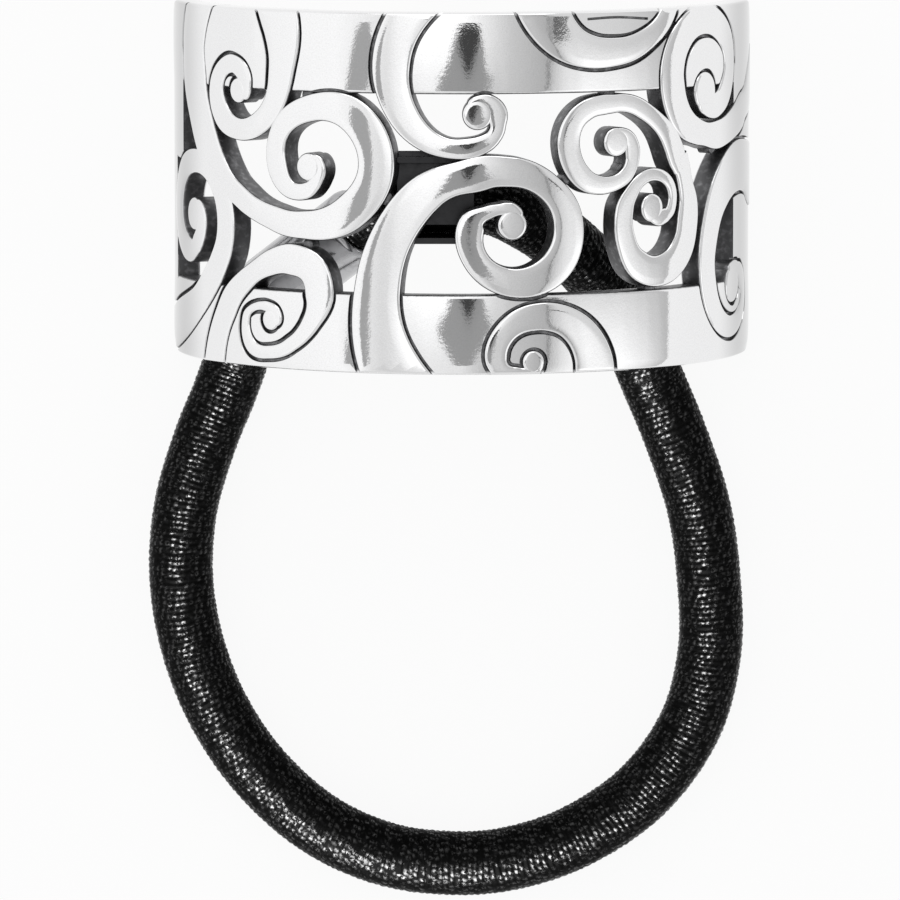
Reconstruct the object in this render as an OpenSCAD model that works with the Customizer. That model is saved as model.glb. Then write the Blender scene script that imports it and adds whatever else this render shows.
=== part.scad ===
// Hair tie: a pierced scroll cuff of cast white metal with a round elastic loop.
// It lies on its two long end edges with the scrollwork upwards. Lengths in millimetres.

/* [Cuff] */
// radius of the outer face of the scrolls
cuff_r = 22.5; // [18:0.1:30]
// thickness of the cuff wall under the scrolls
cuff_wall = 1.8; // [1.2:0.1:3]
// half of the arc that the cuff covers, in degrees
cuff_half_arc = 86; // [60:1:90]
// height of the cuff along the pony tail
cuff_h = 27.4; // [20:0.1:40]
// how far the scrolls stand above the plain rails
relief = 0.25; // [0.1:0.05:0.6]
// width of the rail along the upper edge
top_rail_w = 6.15; // [3:0.05:10]
// width of the rail along the lower edge
bottom_rail_w = 6.05; // [3:0.05:10]
// width of the upright bar at the left end
left_bar_w = 2.6; // [1:0.1:6]
// width of the upright bar at the right end
right_bar_w = 6.6; // [1:0.1:8]
// corner radius at the lower corners
low_corner_r = 2.8; // [0.5:0.1:6]
// corner radius at the upper corners
top_corner_r = 1.2; // [0.5:0.1:6]
// width of the left bar where it is wider, beside the upper scroll
plate_w = 4.9; // [3:0.1:8]
// lower edge of the wider stretch, above the middle of the cuff
plate_low = 1.5; // [0:0.1:5]

/* [Saddle] */
// length of the passage for the elastic
saddle_l = 5.2; // [3:0.1:10]
// wall of the saddle beside the elastic
saddle_wall = 0.6; // [0.4:0.1:1.5]
// room between the elastic and the saddle
saddle_play = 0.3; // [0.05:0.05:0.5]

/* [Elastic] */
// diameter of the covered elastic cord
cord_d = 5.1; // [2:0.1:8]
// outside diameter of the joining ferrule
ferrule_d = 5.9; // [3:0.1:9]
// length of the ferrule
ferrule_l = 12; // [6:0.5:20]

/* [Hidden] */

// columns of a scroll table: angle about the eye in degrees, outer and inner radius of the band
ANGLE = 0;
OUTER = 1;
INNER = 2;

// each scroll runs from where its band leaves the cuff, or meets another band, in to its eye
a_eye = [3.85, -2.1];
a_rows = [
    [290, 27, 20], [270, 21.5, 14.7], [247, 18.9, 13.4], [225, 16.6, 11.5],
    [202, 13.2, 8.9], [180, 10.5, 6.6], [157, 8.35, 4.8], [135, 6.45, 3.3],
    [112, 5.45, 2.8], [90, 4.95, 2.6], [45, 4.9, 2.75], [0, 5.7, 3.2],
    [-45, 6.2, 3.55], [-90, 5.75, 3.5], [-135, 5.05, 2.95], [-180, 4.2, 1.8],
    [-202, 2.8, 1.15], [-225, 1.95, 0.75], [-260, 1.55, 0.5], [-300, 1.1, 0.3]];

b_eye = [1.3, 6.2];
b_rows = [
    [90, 12.5, 9.2], [112, 11.3, 8.1], [135, 10.25, 6.95], [157, 9.0, 5.7],
    [180, 7.35, 4.5], [202, 5.95, 3.6], [225, 4.7, 2.8], [247, 3.9, 2.1],
    [270, 3.35, 1.75], [315, 2.65, 1.25], [335, 2.4, 0.8], [360, 2.2, 0.55],
    [405, 1.7, 0.45], [450, 1.15, 0.3]];

c_eye = [-12.3, 2.0];
c_rows = [
    [125, 19.5, 16.2], [135, 19.5, 15.65], [146, 19.4, 14.6], [157, 18.0, 12.4],
    [168, 15.4, 10.4], [180, 12.9, 8.65], [190, 10.8, 7.5], [202, 8.7, 6.25],
    [225, 6.75, 4.6], [247, 6.0, 3.85], [270, 5.7, 3.45], [315, 6.4, 3.5],
    [360, 7.15, 4.2], [405, 6.8, 4.0], [450, 5.35, 3.2], [495, 4.65, 2.75],
    [540, 4.05, 2.0], [585, 3.4, 1.85], [612, 2.9, 1.45], [630, 2.6, 1.15],
    [675, 1.82, 0.6], [720, 1.3, 0.4], [750, 0.9, 0.3]];

d_eye = [-19.6, 7.4];
d_rows = [
    [85, 12.6, 10.0], [67, 10.9, 6.55], [45, 8.9, 4.6], [22, 6.65, 3.65],
    [0, 5.55, 3.2], [-45, 4.4, 2.45], [-90, 3.85, 2.1], [-135, 3.95, 1.75],
    [-180, 3.85, 1.8], [-225, 3.2, 1.6], [-250, 2.92, 1.3], [-270, 2.65, 0.95],
    [-315, 2.1, 0.45], [-365, 1.6, 0.3], [-400, 0.9, 0.2]];

e_eye = [-25.9, -2.6];
e_rows = [
    [215, 20, 12.5], [225, 16.5, 10.4], [238, 13.0, 7.8], [252, 10.5, 6.25],
    [270, 8.4, 5.2], [292, 7.0, 4.2], [315, 6.3, 3.8], [337, 6.1, 3.7],
    [360, 5.9, 3.55], [405, 5.5, 3.4], [450, 5.15, 3.25], [495, 5.6, 3.35],
    [540, 5.9, 3.25], [585, 4.7, 2.35], [612, 3.9, 1.85], [630, 3.3, 1.1],
    [675, 2.25, 0.45], [720, 1.75, 0.35], [770, 1.2, 0.3]];

f_eye = [-16.0, -10.0];
f_rows = [
    [225, 12.0, 7.4], [203, 9.0, 5.4], [180, 6.8, 3.95], [157, 5.65, 3.3],
    [135, 4.95, 3.02], [112, 4.85, 3.1], [90, 5.45, 3.3], [67, 6.45, 3.85],
    [45, 7.0, 4.4], [22, 6.4, 3.6], [0, 4.85, 2.9], [-22, 3.85, 2.35],
    [-45, 3.27, 2.0], [-90, 3.0, 1.9], [-135, 3.55, 2.3], [-180, 3.1, 2.15],
    [-203, 2.55, 1.6], [-240, 1.72, 0.7], [-290, 1.1, 0.4]];

g_eye = [5.4, -12.5];
g_rows = [
    [-45, 9.3, 4.7], [-22, 7.5, 3.75], [0, 6.7, 3.3], [22, 5.9, 2.95],
    [45, 5.15, 2.6], [67, 4.6, 2.25], [90, 4.2, 2.05], [135, 3.8, 1.98],
    [180, 3.7, 1.9], [200, 3.35, 1.7], [225, 2.9, 0.95], [260, 2.0, 0.5]];

h_eye = [12.0, 14.8];
h_rows = [
    [175, 8.4, 3.8], [202, 7.4, 3.55], [225, 6.6, 3.4], [247, 5.87, 3.2],
    [270, 5.4, 3.1], [292, 5.4, 3.3], [315, 5.65, 3.75], [337, 6.3, 4.5],
    [355, 6.8, 5.2]];

i_eye = [12.4, 3.8];
i_rows = [
    [-20, 8.3, 5.75], [-15, 7.75, 5.1], [0, 6.5, 4.15],
    [22, 4.95, 3.15], [45, 4.15, 2.55], [90, 3.6, 2.15], [112, 3.85, 2.2],
    [135, 4.4, 2.65], [157, 4.85, 3.05], [180, 5.05, 3.15], [225, 4.85, 3.05],
    [247, 4.35, 2.8], [270, 3.8, 2.45], [305, 3.15, 1.6], [323, 2.75, 1.05],
    [360, 2.0, 0.6], [410, 1.1, 0.4]];

l_eye = [16.0, -1.1];
l_rows = [
    [50, 5.4, 3.2], [22, 4.7, 2.9], [0, 5.05, 2.8],
    [-22, 5.45, 2.85], [-45, 6.05, 3.4], [-68, 6.4, 3.85], [-90, 6.36, 3.95],
    [-112, 5.95, 3.5], [-135, 4.9, 2.75], [-158, 4.1, 2.2], [-180, 3.6, 1.85],
    [-202, 3.05, 1.68], [-225, 2.85, 1.7], [-270, 2.75, 1.7], [-315, 2.75, 1.75],
    [-360, 2.5, 1.5], [-382, 2.4, 1.3], [-400, 2.25, 0.85], [-430, 1.85, 0.5], [-465, 1.3, 0.3]];

j_eye = [22.3, 7.4];
j_rows = [
    [15, 18, 12.0], [0, 14.0, 8.0], [-8, 11.8, 6.6], [-15, 9.8, 5.4],
    [-30, 7.5, 4.2], [-45, 6.15, 3.5], [-67, 5.2, 2.8], [-90, 4.5, 2.55],
    [-112, 4.55, 2.4], [-135, 4.95, 2.45], [-180, 5.6, 2.8], [-202, 6.0, 3.25],
    [-225, 6.35, 3.75], [-248, 6.55, 4.1], [-270, 6.5, 4.1], [-292, 6.25, 3.95],
    [-315, 6.0, 3.7], [-338, 5.3, 3.05], [-360, 4.65, 2.15], [-380, 4.0, 1.5],
    [-400, 3.35, 0.95], [-427, 2.6, 0.6], [-465, 1.6, 0.4]];

k_eye = [27.2, -7.8];
k_rows = [
    [40, 15.0, 8.0], [55, 12.6, 7.3], [67, 11.6, 7.3], [90, 10.7, 6.6],
    [112, 9.2, 5.65], [135, 7.45, 4.55], [157, 6.4, 3.85], [180, 5.7, 3.25],
    [225, 4.9, 2.8], [270, 4.3, 2.57], [315, 4.0, 2.4], [340, 3.7, 2.0],
    [362, 3.35, 1.15], [385, 2.7, 0.7], [425, 1.5, 0.4]];

// columns of the disc table: place across and up the unrolled cuff, radius
ACROSS = 0;
UP = 1;
RADIUS = 2;

// discs in the eyes of the scrolls
eyes = [
    [3.85, -2.35, 1.15], [1.2, 6.0, 1.2], [-12.3, 1.85, 1.1], [-19.5, 7.35, 1.0],
    [-26.3, -2.5, 1.3], [-15.95, -9.95, 0.85], [5.5, -12.75, 0.9], [12.4, 3.75, 1.15],
    [15.85, -1.4, 1.1], [22.1, 7.2, 1.5], [27.0, -8.0, 1.45]];

// beads of solder where neighbouring bands and rails touch
joins = [
    [-12.6, 7.3, 0.5], [-8.8, 7.1, 0.4], [-15.3, 5.1, 0.5], [0.5, 2.9, 0.5],
    [1.4, 7.3, 0.5], [12.0, 7.4, 0.5], [4.0, -7.8, 0.6], [-12.6, -4.1, 0.45],
    [-5.9, -0.4, 0.5], [16.0, -7.6, 0.5], [18.6, -0.2, 0.35], [13.3, 1.5, 0.6],
    [18.9, 4.2, 0.5], [23.9, 2.9, 0.6], [-21.0, -8.0, 0.6], [8.2, 1.0, 0.4]];

in_r = cuff_r - cuff_wall;
axis_z = -cuff_r * cos(cuff_half_arc);
flat_per_deg = cuff_r * PI / 180;
half_w = cuff_r + 2;
end_u = cuff_half_arc * flat_per_deg;
rail_deg_step = 5;
ribbon_step = 2.6;
ribbon_turn = 17;
ribbon_in_r = in_r - 0.1;
disc_in_r = in_r - 0.2;
disc_out_r = cuff_r + 0.05;
corner_parts = 6;

cord_r = cord_d / 2;
saddle_in_r = cord_r + saddle_play;
saddle_out_r = saddle_in_r + saddle_wall;
ferrule_from = [-7.7, -2.6, 13.9];
ferrule_end = [-14.9, -8.7, 6.5];
ferrule_dir = (ferrule_end - ferrule_from) / norm(ferrule_end - ferrule_from);
ferrule_to = ferrule_from + ferrule_l * ferrule_dir;
ferrule_gap = 0.05;
ferrule_edge = 0.5;
saddle_at = [-1.7, -0.8, 15.9];
saddle_root = 0.4;

// the centre of the elastic, from the upper end of the ferrule round the loop to its lower end
route = [
    ferrule_from - ferrule_gap * ferrule_dir, [-6.6, -1.75, 14.9], [-5.4, -1.15, 15.55],
    [-4.1, -0.85, 15.85], saddle_at, [0.1, -0.8, 15.9], [1.5, -0.85, 15.85],
    [3.0, -1.2, 15.45], [4.7, -2.1, 14.4], [6.5, -3.3, 13.0],
    [8.4, -4.9, 11.2], [10.2, -6.9, 9.0], [11.9, -9.4, 6.6], [13.4, -12.3, 4.3],
    [14.8, -15.7, 2.9], [16.7, -20.3, 2.6], [18.5, -25.8, 2.55], [19.3, -31.4, 2.55],
    [19.4, -37.1, 2.55], [17.9, -43.0, 2.55], [14.2, -48.2, 2.55], [9.0, -51.8, 2.55],
    [3.6, -53.6, 2.55], [-1.4, -53.9, 2.55], [-6.3, -53.1, 2.55], [-11.2, -50.8, 2.55],
    [-15.6, -46.9, 2.55], [-18.9, -42.1, 2.55], [-21.0, -36.8, 2.55], [-21.9, -31.3, 2.55],
    [-21.5, -25.7, 2.55], [-20.0, -20.6, 2.55], [-18.5, -16.9, 2.6], [-17.5, -14.1, 2.9],
    [-16.7, -11.4, 4.2], [-15.9, -9.8, 5.4], ferrule_to + ferrule_gap * ferrule_dir];
route_sides = 10;
route_parts = 2;

// slope at row k of a table read against its first column
function row_slope(t, k, col) =
    let (lo = max(k - 1, 0), hi = min(k + 1, len(t) - 1))
    (t[hi][col] - t[lo][col]) / (t[hi][ANGLE] - t[lo][ANGLE]);

// cubic between two values with a slope at each, h apart, at the fraction s
function cubic(y0, y1, m0, m1, h, s) =
    y0 * (2 * s ^ 3 - 3 * s ^ 2 + 1) + m0 * h * (s ^ 3 - 2 * s ^ 2 + s)
    + y1 * (3 * s ^ 2 - 2 * s ^ 3) + m1 * h * (s ^ 3 - s ^ 2);

function between_rows(t, k, col, s) =
    cubic(t[k][col], t[k + 1][col], row_slope(t, k, col), row_slope(t, k + 1, col),
          t[k + 1][ANGLE] - t[k][ANGLE], s);

// how many stations a stretch takes, from its turn and its length along the band
function stretch_parts(t, k) =
    let (turn = abs(t[k + 1][ANGLE] - t[k][ANGLE]))
    ceil(max(turn / ribbon_turn, turn * PI / 180 * t[k][OUTER] / ribbon_step));

// stations of a band: angle, outer radius, inner radius
function stations(t) = concat(
    [for (k = [0 : len(t) - 2]) let (n = stretch_parts(t, k)) for (i = [0 : n - 1])
        [t[k][ANGLE] + (t[k + 1][ANGLE] - t[k][ANGLE]) * i / n,
         between_rows(t, k, OUTER, i / n), between_rows(t, k, INNER, i / n)]],
    [t[len(t) - 1]]);

// middle of the band at a station of the scroll about an eye
function middle(eye, st) =
    eye + (st[OUTER] + st[INNER]) / 2 * [cos(st[ANGLE]), sin(st[ANGLE])];

function unit(v) = v / norm(v);

function heading(p, k) = unit(p[min(k + 1, len(p) - 1)] - p[max(k - 1, 0)]);

// half of the true width of a band, square to its run
function half_width(st, dir) =
    (st[OUTER] - st[INNER]) / 2 * abs(cos(st[ANGLE]) * dir[1] - sin(st[ANGLE]) * dir[0]);

// a point of the unrolled cuff bent to its place at the radius r
function bent(p, r) = let (a = p[0] / flat_per_deg) [r * sin(a), p[1], axis_z + r * cos(a)];

// a closed skin over rings that all have the same number of points
function skin(rings, n) = concat(
    [for (k = [0 : rings - 2], i = [0 : n - 1])
        [k * n + i, k * n + (i + 1) % n, (k + 1) * n + (i + 1) % n]],
    [for (k = [0 : rings - 2], i = [0 : n - 1])
        [k * n + i, (k + 1) * n + (i + 1) % n, (k + 1) * n + i]],
    [for (i = [1 : n - 2]) [0, i + 1, i]],
    [for (i = [1 : n - 2]) [0, i, i + 1] + (rings - 1) * n * [1, 1, 1]]);

// one scroll band, as thick as the wall and bent round the cuff
module scroll(eye, t) {
    st = stations(t);
    mid = [for (s = st) middle(eye, s)];
    pts = [for (k = [0 : len(st) - 1])
        let (dir = heading(mid, k), w = half_width(st[k], dir), side = [-dir[1], dir[0]] * w)
        each [bent(mid[k] - side, ribbon_in_r), bent(mid[k] - side, cuff_r),
              bent(mid[k] + side, cuff_r), bent(mid[k] + side, ribbon_in_r)]];
    polyhedron(points = pts, faces = skin(len(st), 4), convexity = 10);
}

// a plain curved strip between two places across and two heights
module strip(u0, u1, v0, v1, r1) {
    a0 = u0 / flat_per_deg;
    a1 = u1 / flat_per_deg;
    n = ceil((a1 - a0) / rail_deg_step);
    pts = [for (k = [0 : n]) let (u = (a0 + (a1 - a0) * k / n) * flat_per_deg)
        each [bent([u, v0], in_r), bent([u, v0], r1), bent([u, v1], r1), bent([u, v1], in_r)]];
    polyhedron(points = pts, faces = skin(n + 1, 4), convexity = 4);
}

// turns its children from the top of the cuff to a place across and up
module on_cuff(u, v) {
    translate([0, v, axis_z])
        rotate([0, u / flat_per_deg, 0])
            children();
}

// a disc right through the wall, with a softened rim
module disc(u, v, r) {
    rim = r * 0.25;
    on_cuff(u, v)
        hull() {
            translate([0, 0, disc_in_r])
                cylinder(h = disc_out_r - rim - disc_in_r, r = r, $fn = 20);
            translate([0, 0, disc_out_r - rim])
                cylinder(h = rim, r = r - rim, $fn = 20);
        }
}

// a bead of solder inside the thickness of the wall
module bead(u, v, r) {
    on_cuff(u, v)
        translate([0, 0, in_r + 0.3])
            cylinder(h = cuff_wall - 0.7, r = r, $fn = 10);
}

function arc(centre, r, from, to) =
    [for (i = [0 : corner_parts]) let (a = from + (to - from) * i / corner_parts)
        centre + r * [cos(a), sin(a)]];

// the outline of the cuff seen from its end, with its rounded corners on the surface
module side_outline() {
    half_h = cuff_h / 2;
    polygon(concat(
        arc([low_corner_r - half_h, low_corner_r], low_corner_r, 180, 270),
        arc([half_h - top_corner_r, top_corner_r], top_corner_r, 270, 360),
        [[half_h, half_w], [-half_h, half_w]]));
}

module scrolls() {
    scroll(a_eye, a_rows);
    scroll(b_eye, b_rows);
    scroll(c_eye, c_rows);
    scroll(d_eye, d_rows);
    scroll(e_eye, e_rows);
    scroll(f_eye, f_rows);
    scroll(g_eye, g_rows);
    scroll(h_eye, h_rows);
    scroll(i_eye, i_rows);
    scroll(l_eye, l_rows);
    scroll(j_eye, j_rows);
    scroll(k_eye, k_rows);
}

module rails() {
    past_h = cuff_h / 2 + 1;
    past_u = end_u + 1;
    rail_r = cuff_r - relief;
    strip(-past_u, past_u, cuff_h / 2 - top_rail_w, past_h, rail_r);
    strip(-past_u, past_u, -past_h, bottom_rail_w - cuff_h / 2, rail_r);
    strip(-past_u, left_bar_w - end_u, -past_h, past_h, rail_r);
    strip(end_u - right_bar_w, past_u, -past_h, past_h, rail_r);
    strip(-past_u, plate_w - end_u, plate_low, past_h, rail_r);
}

// a slot seen from its end: a circle with straight sides upwards
module u_outline(r, up) {
    circle(r = r, $fn = 40);
    translate([-r, 0])
        square([2 * r, up]);
}

// the strap soldered under the scrolls, with a U-shaped passage for the elastic
module saddle() {
    into_wall = in_r + axis_z - saddle_at[2] + saddle_root;
    translate(saddle_at - [saddle_l / 2, 0, 0])
        rotate([90, 0, 90])
            linear_extrude(height = saddle_l)
                difference() {
                    u_outline(saddle_out_r, into_wall);
                    u_outline(saddle_in_r, into_wall + 1);
                }
}

module cuff() {
    color("silver") {
        intersection() {
            union() {
                rails();
                scrolls();
                for (e = eyes)
                    disc(e[ACROSS], e[UP], e[RADIUS]);
                for (j = joins)
                    bead(j[ACROSS], j[UP], j[RADIUS]);
            }
            translate([-half_w, 0, 0])
                rotate([90, 0, 90])
                    linear_extrude(height = 2 * half_w)
                        side_outline();
        }
        saddle();
    }
}

// a smooth metal sleeve over the joined ends of the elastic
module ferrule() {
    slope = acos(ferrule_dir[2]);
    bearing = atan2(ferrule_dir[1], ferrule_dir[0]);
    color("gainsboro")
        translate(ferrule_from)
            rotate([0, slope, bearing])
                rotate_extrude($fn = 48)
                    polygon([
                        [0, 0], [ferrule_d / 2 - ferrule_edge, 0], [ferrule_d / 2, ferrule_edge],
                        [ferrule_d / 2, ferrule_l - ferrule_edge],
                        [ferrule_d / 2 - ferrule_edge, ferrule_l], [0, ferrule_l]]);
}

function route_slope(k) = (route[min(k + 1, len(route) - 1)] - route[max(k - 1, 0)])
    / (min(k + 1, len(route) - 1) - max(k - 1, 0));

// the cord's centre, with points added between those of the route
function cord_line() = concat(
    [for (k = [0 : len(route) - 2], i = [0 : route_parts - 1])
        cubic(route[k], route[k + 1], route_slope(k), route_slope(k + 1), 1, i / route_parts)],
    [route[len(route) - 1]]);

module elastic() {
    line = cord_line();
    last = len(line) - 1;
    pts = [for (k = [0 : last])
        let (
            dir = k == 0 || k == last ? -ferrule_dir : heading(line, k),
            side = unit(cross(dir, [0, 0, 1])),
            up = cross(side, dir))
        for (i = [0 : route_sides - 1])
            let (a = 360 * (i + 0.5) / route_sides)
            line[k] + cord_r * (cos(a) * side + sin(a) * up)];
    color("dimgray")
        polyhedron(points = pts, faces = skin(last + 1, route_sides), convexity = 10);
}

cuff();
ferrule();
elastic();
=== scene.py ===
"""The looks of a hair tie: a pierced scroll cuff of cast white metal on a black elastic loop.

Lengths are millimetres unless a name ends in _m. A place on the cuff is given unrolled: u runs
across, along the outer face, v runs up, and depth goes from the outer face into the wall.
"""

import logging
import math
from collections.abc import Iterable, Sequence
from dataclasses import dataclass
from enum import Enum
from functools import cached_property

import bpy
import numpy as np
from mathutils import Matrix, Vector


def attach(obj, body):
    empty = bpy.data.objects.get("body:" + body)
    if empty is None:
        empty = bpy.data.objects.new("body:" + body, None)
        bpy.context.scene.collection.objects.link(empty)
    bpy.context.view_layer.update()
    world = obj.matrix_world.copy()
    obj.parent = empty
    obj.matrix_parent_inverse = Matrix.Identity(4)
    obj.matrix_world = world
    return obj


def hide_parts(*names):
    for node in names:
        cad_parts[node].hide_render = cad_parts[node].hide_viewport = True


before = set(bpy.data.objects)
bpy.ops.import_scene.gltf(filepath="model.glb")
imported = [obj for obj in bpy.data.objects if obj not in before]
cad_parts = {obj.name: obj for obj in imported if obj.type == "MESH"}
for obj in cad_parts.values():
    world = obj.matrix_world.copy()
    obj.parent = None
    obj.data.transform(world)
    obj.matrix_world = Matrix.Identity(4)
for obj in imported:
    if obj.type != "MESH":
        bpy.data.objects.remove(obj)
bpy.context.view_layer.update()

MM = 0.001
log = logging.getLogger("hair_tie")


class Boolean(Enum):
    """The boolean operations that the cuff needs."""

    CUT = "DIFFERENCE"
    KEEP = "INTERSECT"


@dataclass(frozen=True)
class CuffSize:
    """Driving dimensions of the cuff, the same as in the CAD source."""

    outer_r: float = 22.5
    wall: float = 1.8
    half_arc: float = 86.0
    height: float = 27.4
    top_rail: float = 6.15
    bottom_rail: float = 6.05
    left_bar: float = 2.6
    right_bar: float = 6.6
    plate_low: float = 1.5
    plate_width: float = 4.9
    low_corner: float = 2.8
    top_corner: float = 1.2
    rim_round: float = 0.35
    rim_parts: int = 5
    bend_step: float = 0.45

    @property
    def axis_z(self) -> float:
        """Height of the cuff's axis, under the surface that the cuff stands on."""
        return -self.outer_r * math.cos(math.radians(self.half_arc))

    @property
    def end_u(self) -> float:
        """Half of the unrolled length of the outer face."""
        return self.outer_r * math.radians(self.half_arc)


@dataclass(frozen=True)
class BandSize:
    """The section of a scroll band and of the groove beside it."""

    edge_round: float = 0.24
    edge_parts: int = 4
    crown: float = 0.02
    foot_chamfer: float = 0.12
    groove: float = 0.2
    groove_depth: float = 0.38
    groove_chamfer: float = 0.05
    groove_neck: float = 0.1
    rail_drop: float = 0.01
    rail_crown: float = 0.05
    rail_parts: int = 8
    edge_share: float = 0.7
    lift_step: float = 0.002
    clear: float = 0.4
    turn_step: float = 4.0
    length_step: float = 0.55
    smooth_angle: float = 30.0


@dataclass(frozen=True)
class StudSize:
    """The domed discs in the scrolls' eyes, and the beads of solder, by their depth in the wall."""

    eye_round: float = 0.26
    eye_parts: int = 5
    eye_crown: float = 0.01
    eye_lift: float = 0.028
    foot_inset: float = 0.15
    foot_depth: float = 0.03
    foot_chamfer: float = 0.1
    bead_foot: float = 0.3
    bead_side: float = 0.5
    bead_share: float = 0.6
    bead_shoulder: float = 0.34
    bead_top: float = 0.32
    pole_r: float = 0.02
    sides: int = 36


@dataclass(frozen=True)
class SaddleSize:
    """The strap under the scrollwork that holds the elastic, and the thin plate that closes it."""

    x: float = -2.0
    y: float = -0.55
    z: float = 15.9
    length: float = 5.8
    inner_r: float = 2.85
    strap: float = 0.45
    root: float = 0.4
    edge_round: float = 0.15
    plate: float = 0.15
    plate_z: float = 18.5
    plate_low: float = -2.5
    plate_high: float = 3.15
    bend_parts: int = 24
    edge_parts: int = 3


@dataclass(frozen=True)
class CordSize:
    """The elastic cord and the sleeve over its joined ends.

    The thread wanders by rows of patch size and share of a pitch. Each pair of shine values says
    from where up its relief begins to shine, and where it shines in full.
    """

    diameter: float = 5.1
    pitch: float = 0.45
    pitch_parts: int = 4
    thread_height: float = 0.055
    stitch_height: float = 0.03
    stitches: int = 28
    wander: tuple[tuple[float, float], ...] = ((2.2, 0.5), (0.9, 0.6))
    lump_cell: float = 0.35
    lump_sink: float = 0.8
    shine_cell: float = 0.6
    shine_patch: tuple[float, float] = (0.3, 0.5)
    shine_thread: tuple[float, float] = (0.2, 0.7)
    shine_stitch: tuple[float, float] = (0.45, 0.85)
    sides: int = 72
    sleeve_d: float = 5.9
    sleeve_length: float = 12.0
    sleeve_gap: float = 0.05
    sleeve_edge: float = 0.55
    sleeve_lip: float = 0.35
    sleeve_rim: float = 0.15
    sleeve_sides: int = 48
    sleeve_smooth: float = 40.0
    pole_r: float = 0.05
    route_parts: int = 6
    seed: int = 7


@dataclass(frozen=True)
class Camera:
    """Where the photograph was taken from."""

    x: float = -0.9
    y: float = 45.4
    z: float = 620.0
    tilt: float = -6.17
    lens: float = 318.6
    sensor: float = 36.0
    near: float = 10.0
    far: float = 10000.0


@dataclass(frozen=True)
class Panel:
    """A soft light, by its direction from straight above and its size, in degrees.

    It may be linked to the elastic, so that it draws no streaks on the polished metal.
    """

    name: str
    across: float
    along: float
    width: float
    height: float
    brightness: float
    distance: float = 1100.0
    elastic_only: bool = False


@dataclass(frozen=True)
class SkyRow:
    """How bright the round ceiling is at an angle from straight above, further up and further down."""

    angle: float
    upper: float
    lower: float


@dataclass(frozen=True)
class Card:
    """A flat card that hangs over the object, by its outline."""

    name: str
    height: float
    shade: float
    outline: tuple[tuple[float, float], ...]
    thickness: float = 4.0


@dataclass(frozen=True)
class Row:
    """One row of a scroll's table: angle about the eye, and the band's two radii there."""

    angle: float
    outer: float
    inner: float


@dataclass(frozen=True)
class Disc:
    """A disc in the eye of a scroll."""

    u: float
    v: float
    r: float


@dataclass(frozen=True)
class Scroll:
    """A scroll band, from where it leaves the cuff or another band in to its eye."""

    name: str
    eye: tuple[float, float]
    rows: tuple[Row, ...]


def scroll(name: str, eye: tuple[float, float], *rows: tuple[float, float, float]) -> Scroll:
    """Make a scroll from plain rows.

    Args:
        name: letter of the scroll, as in the CAD source.
        eye: the scroll's pole, across and up.
        rows: angle, outer radius and inner radius of each row.

    Returns:
        The scroll.
    """
    return Scroll(name, eye, tuple(Row(*row) for row in rows))


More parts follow.
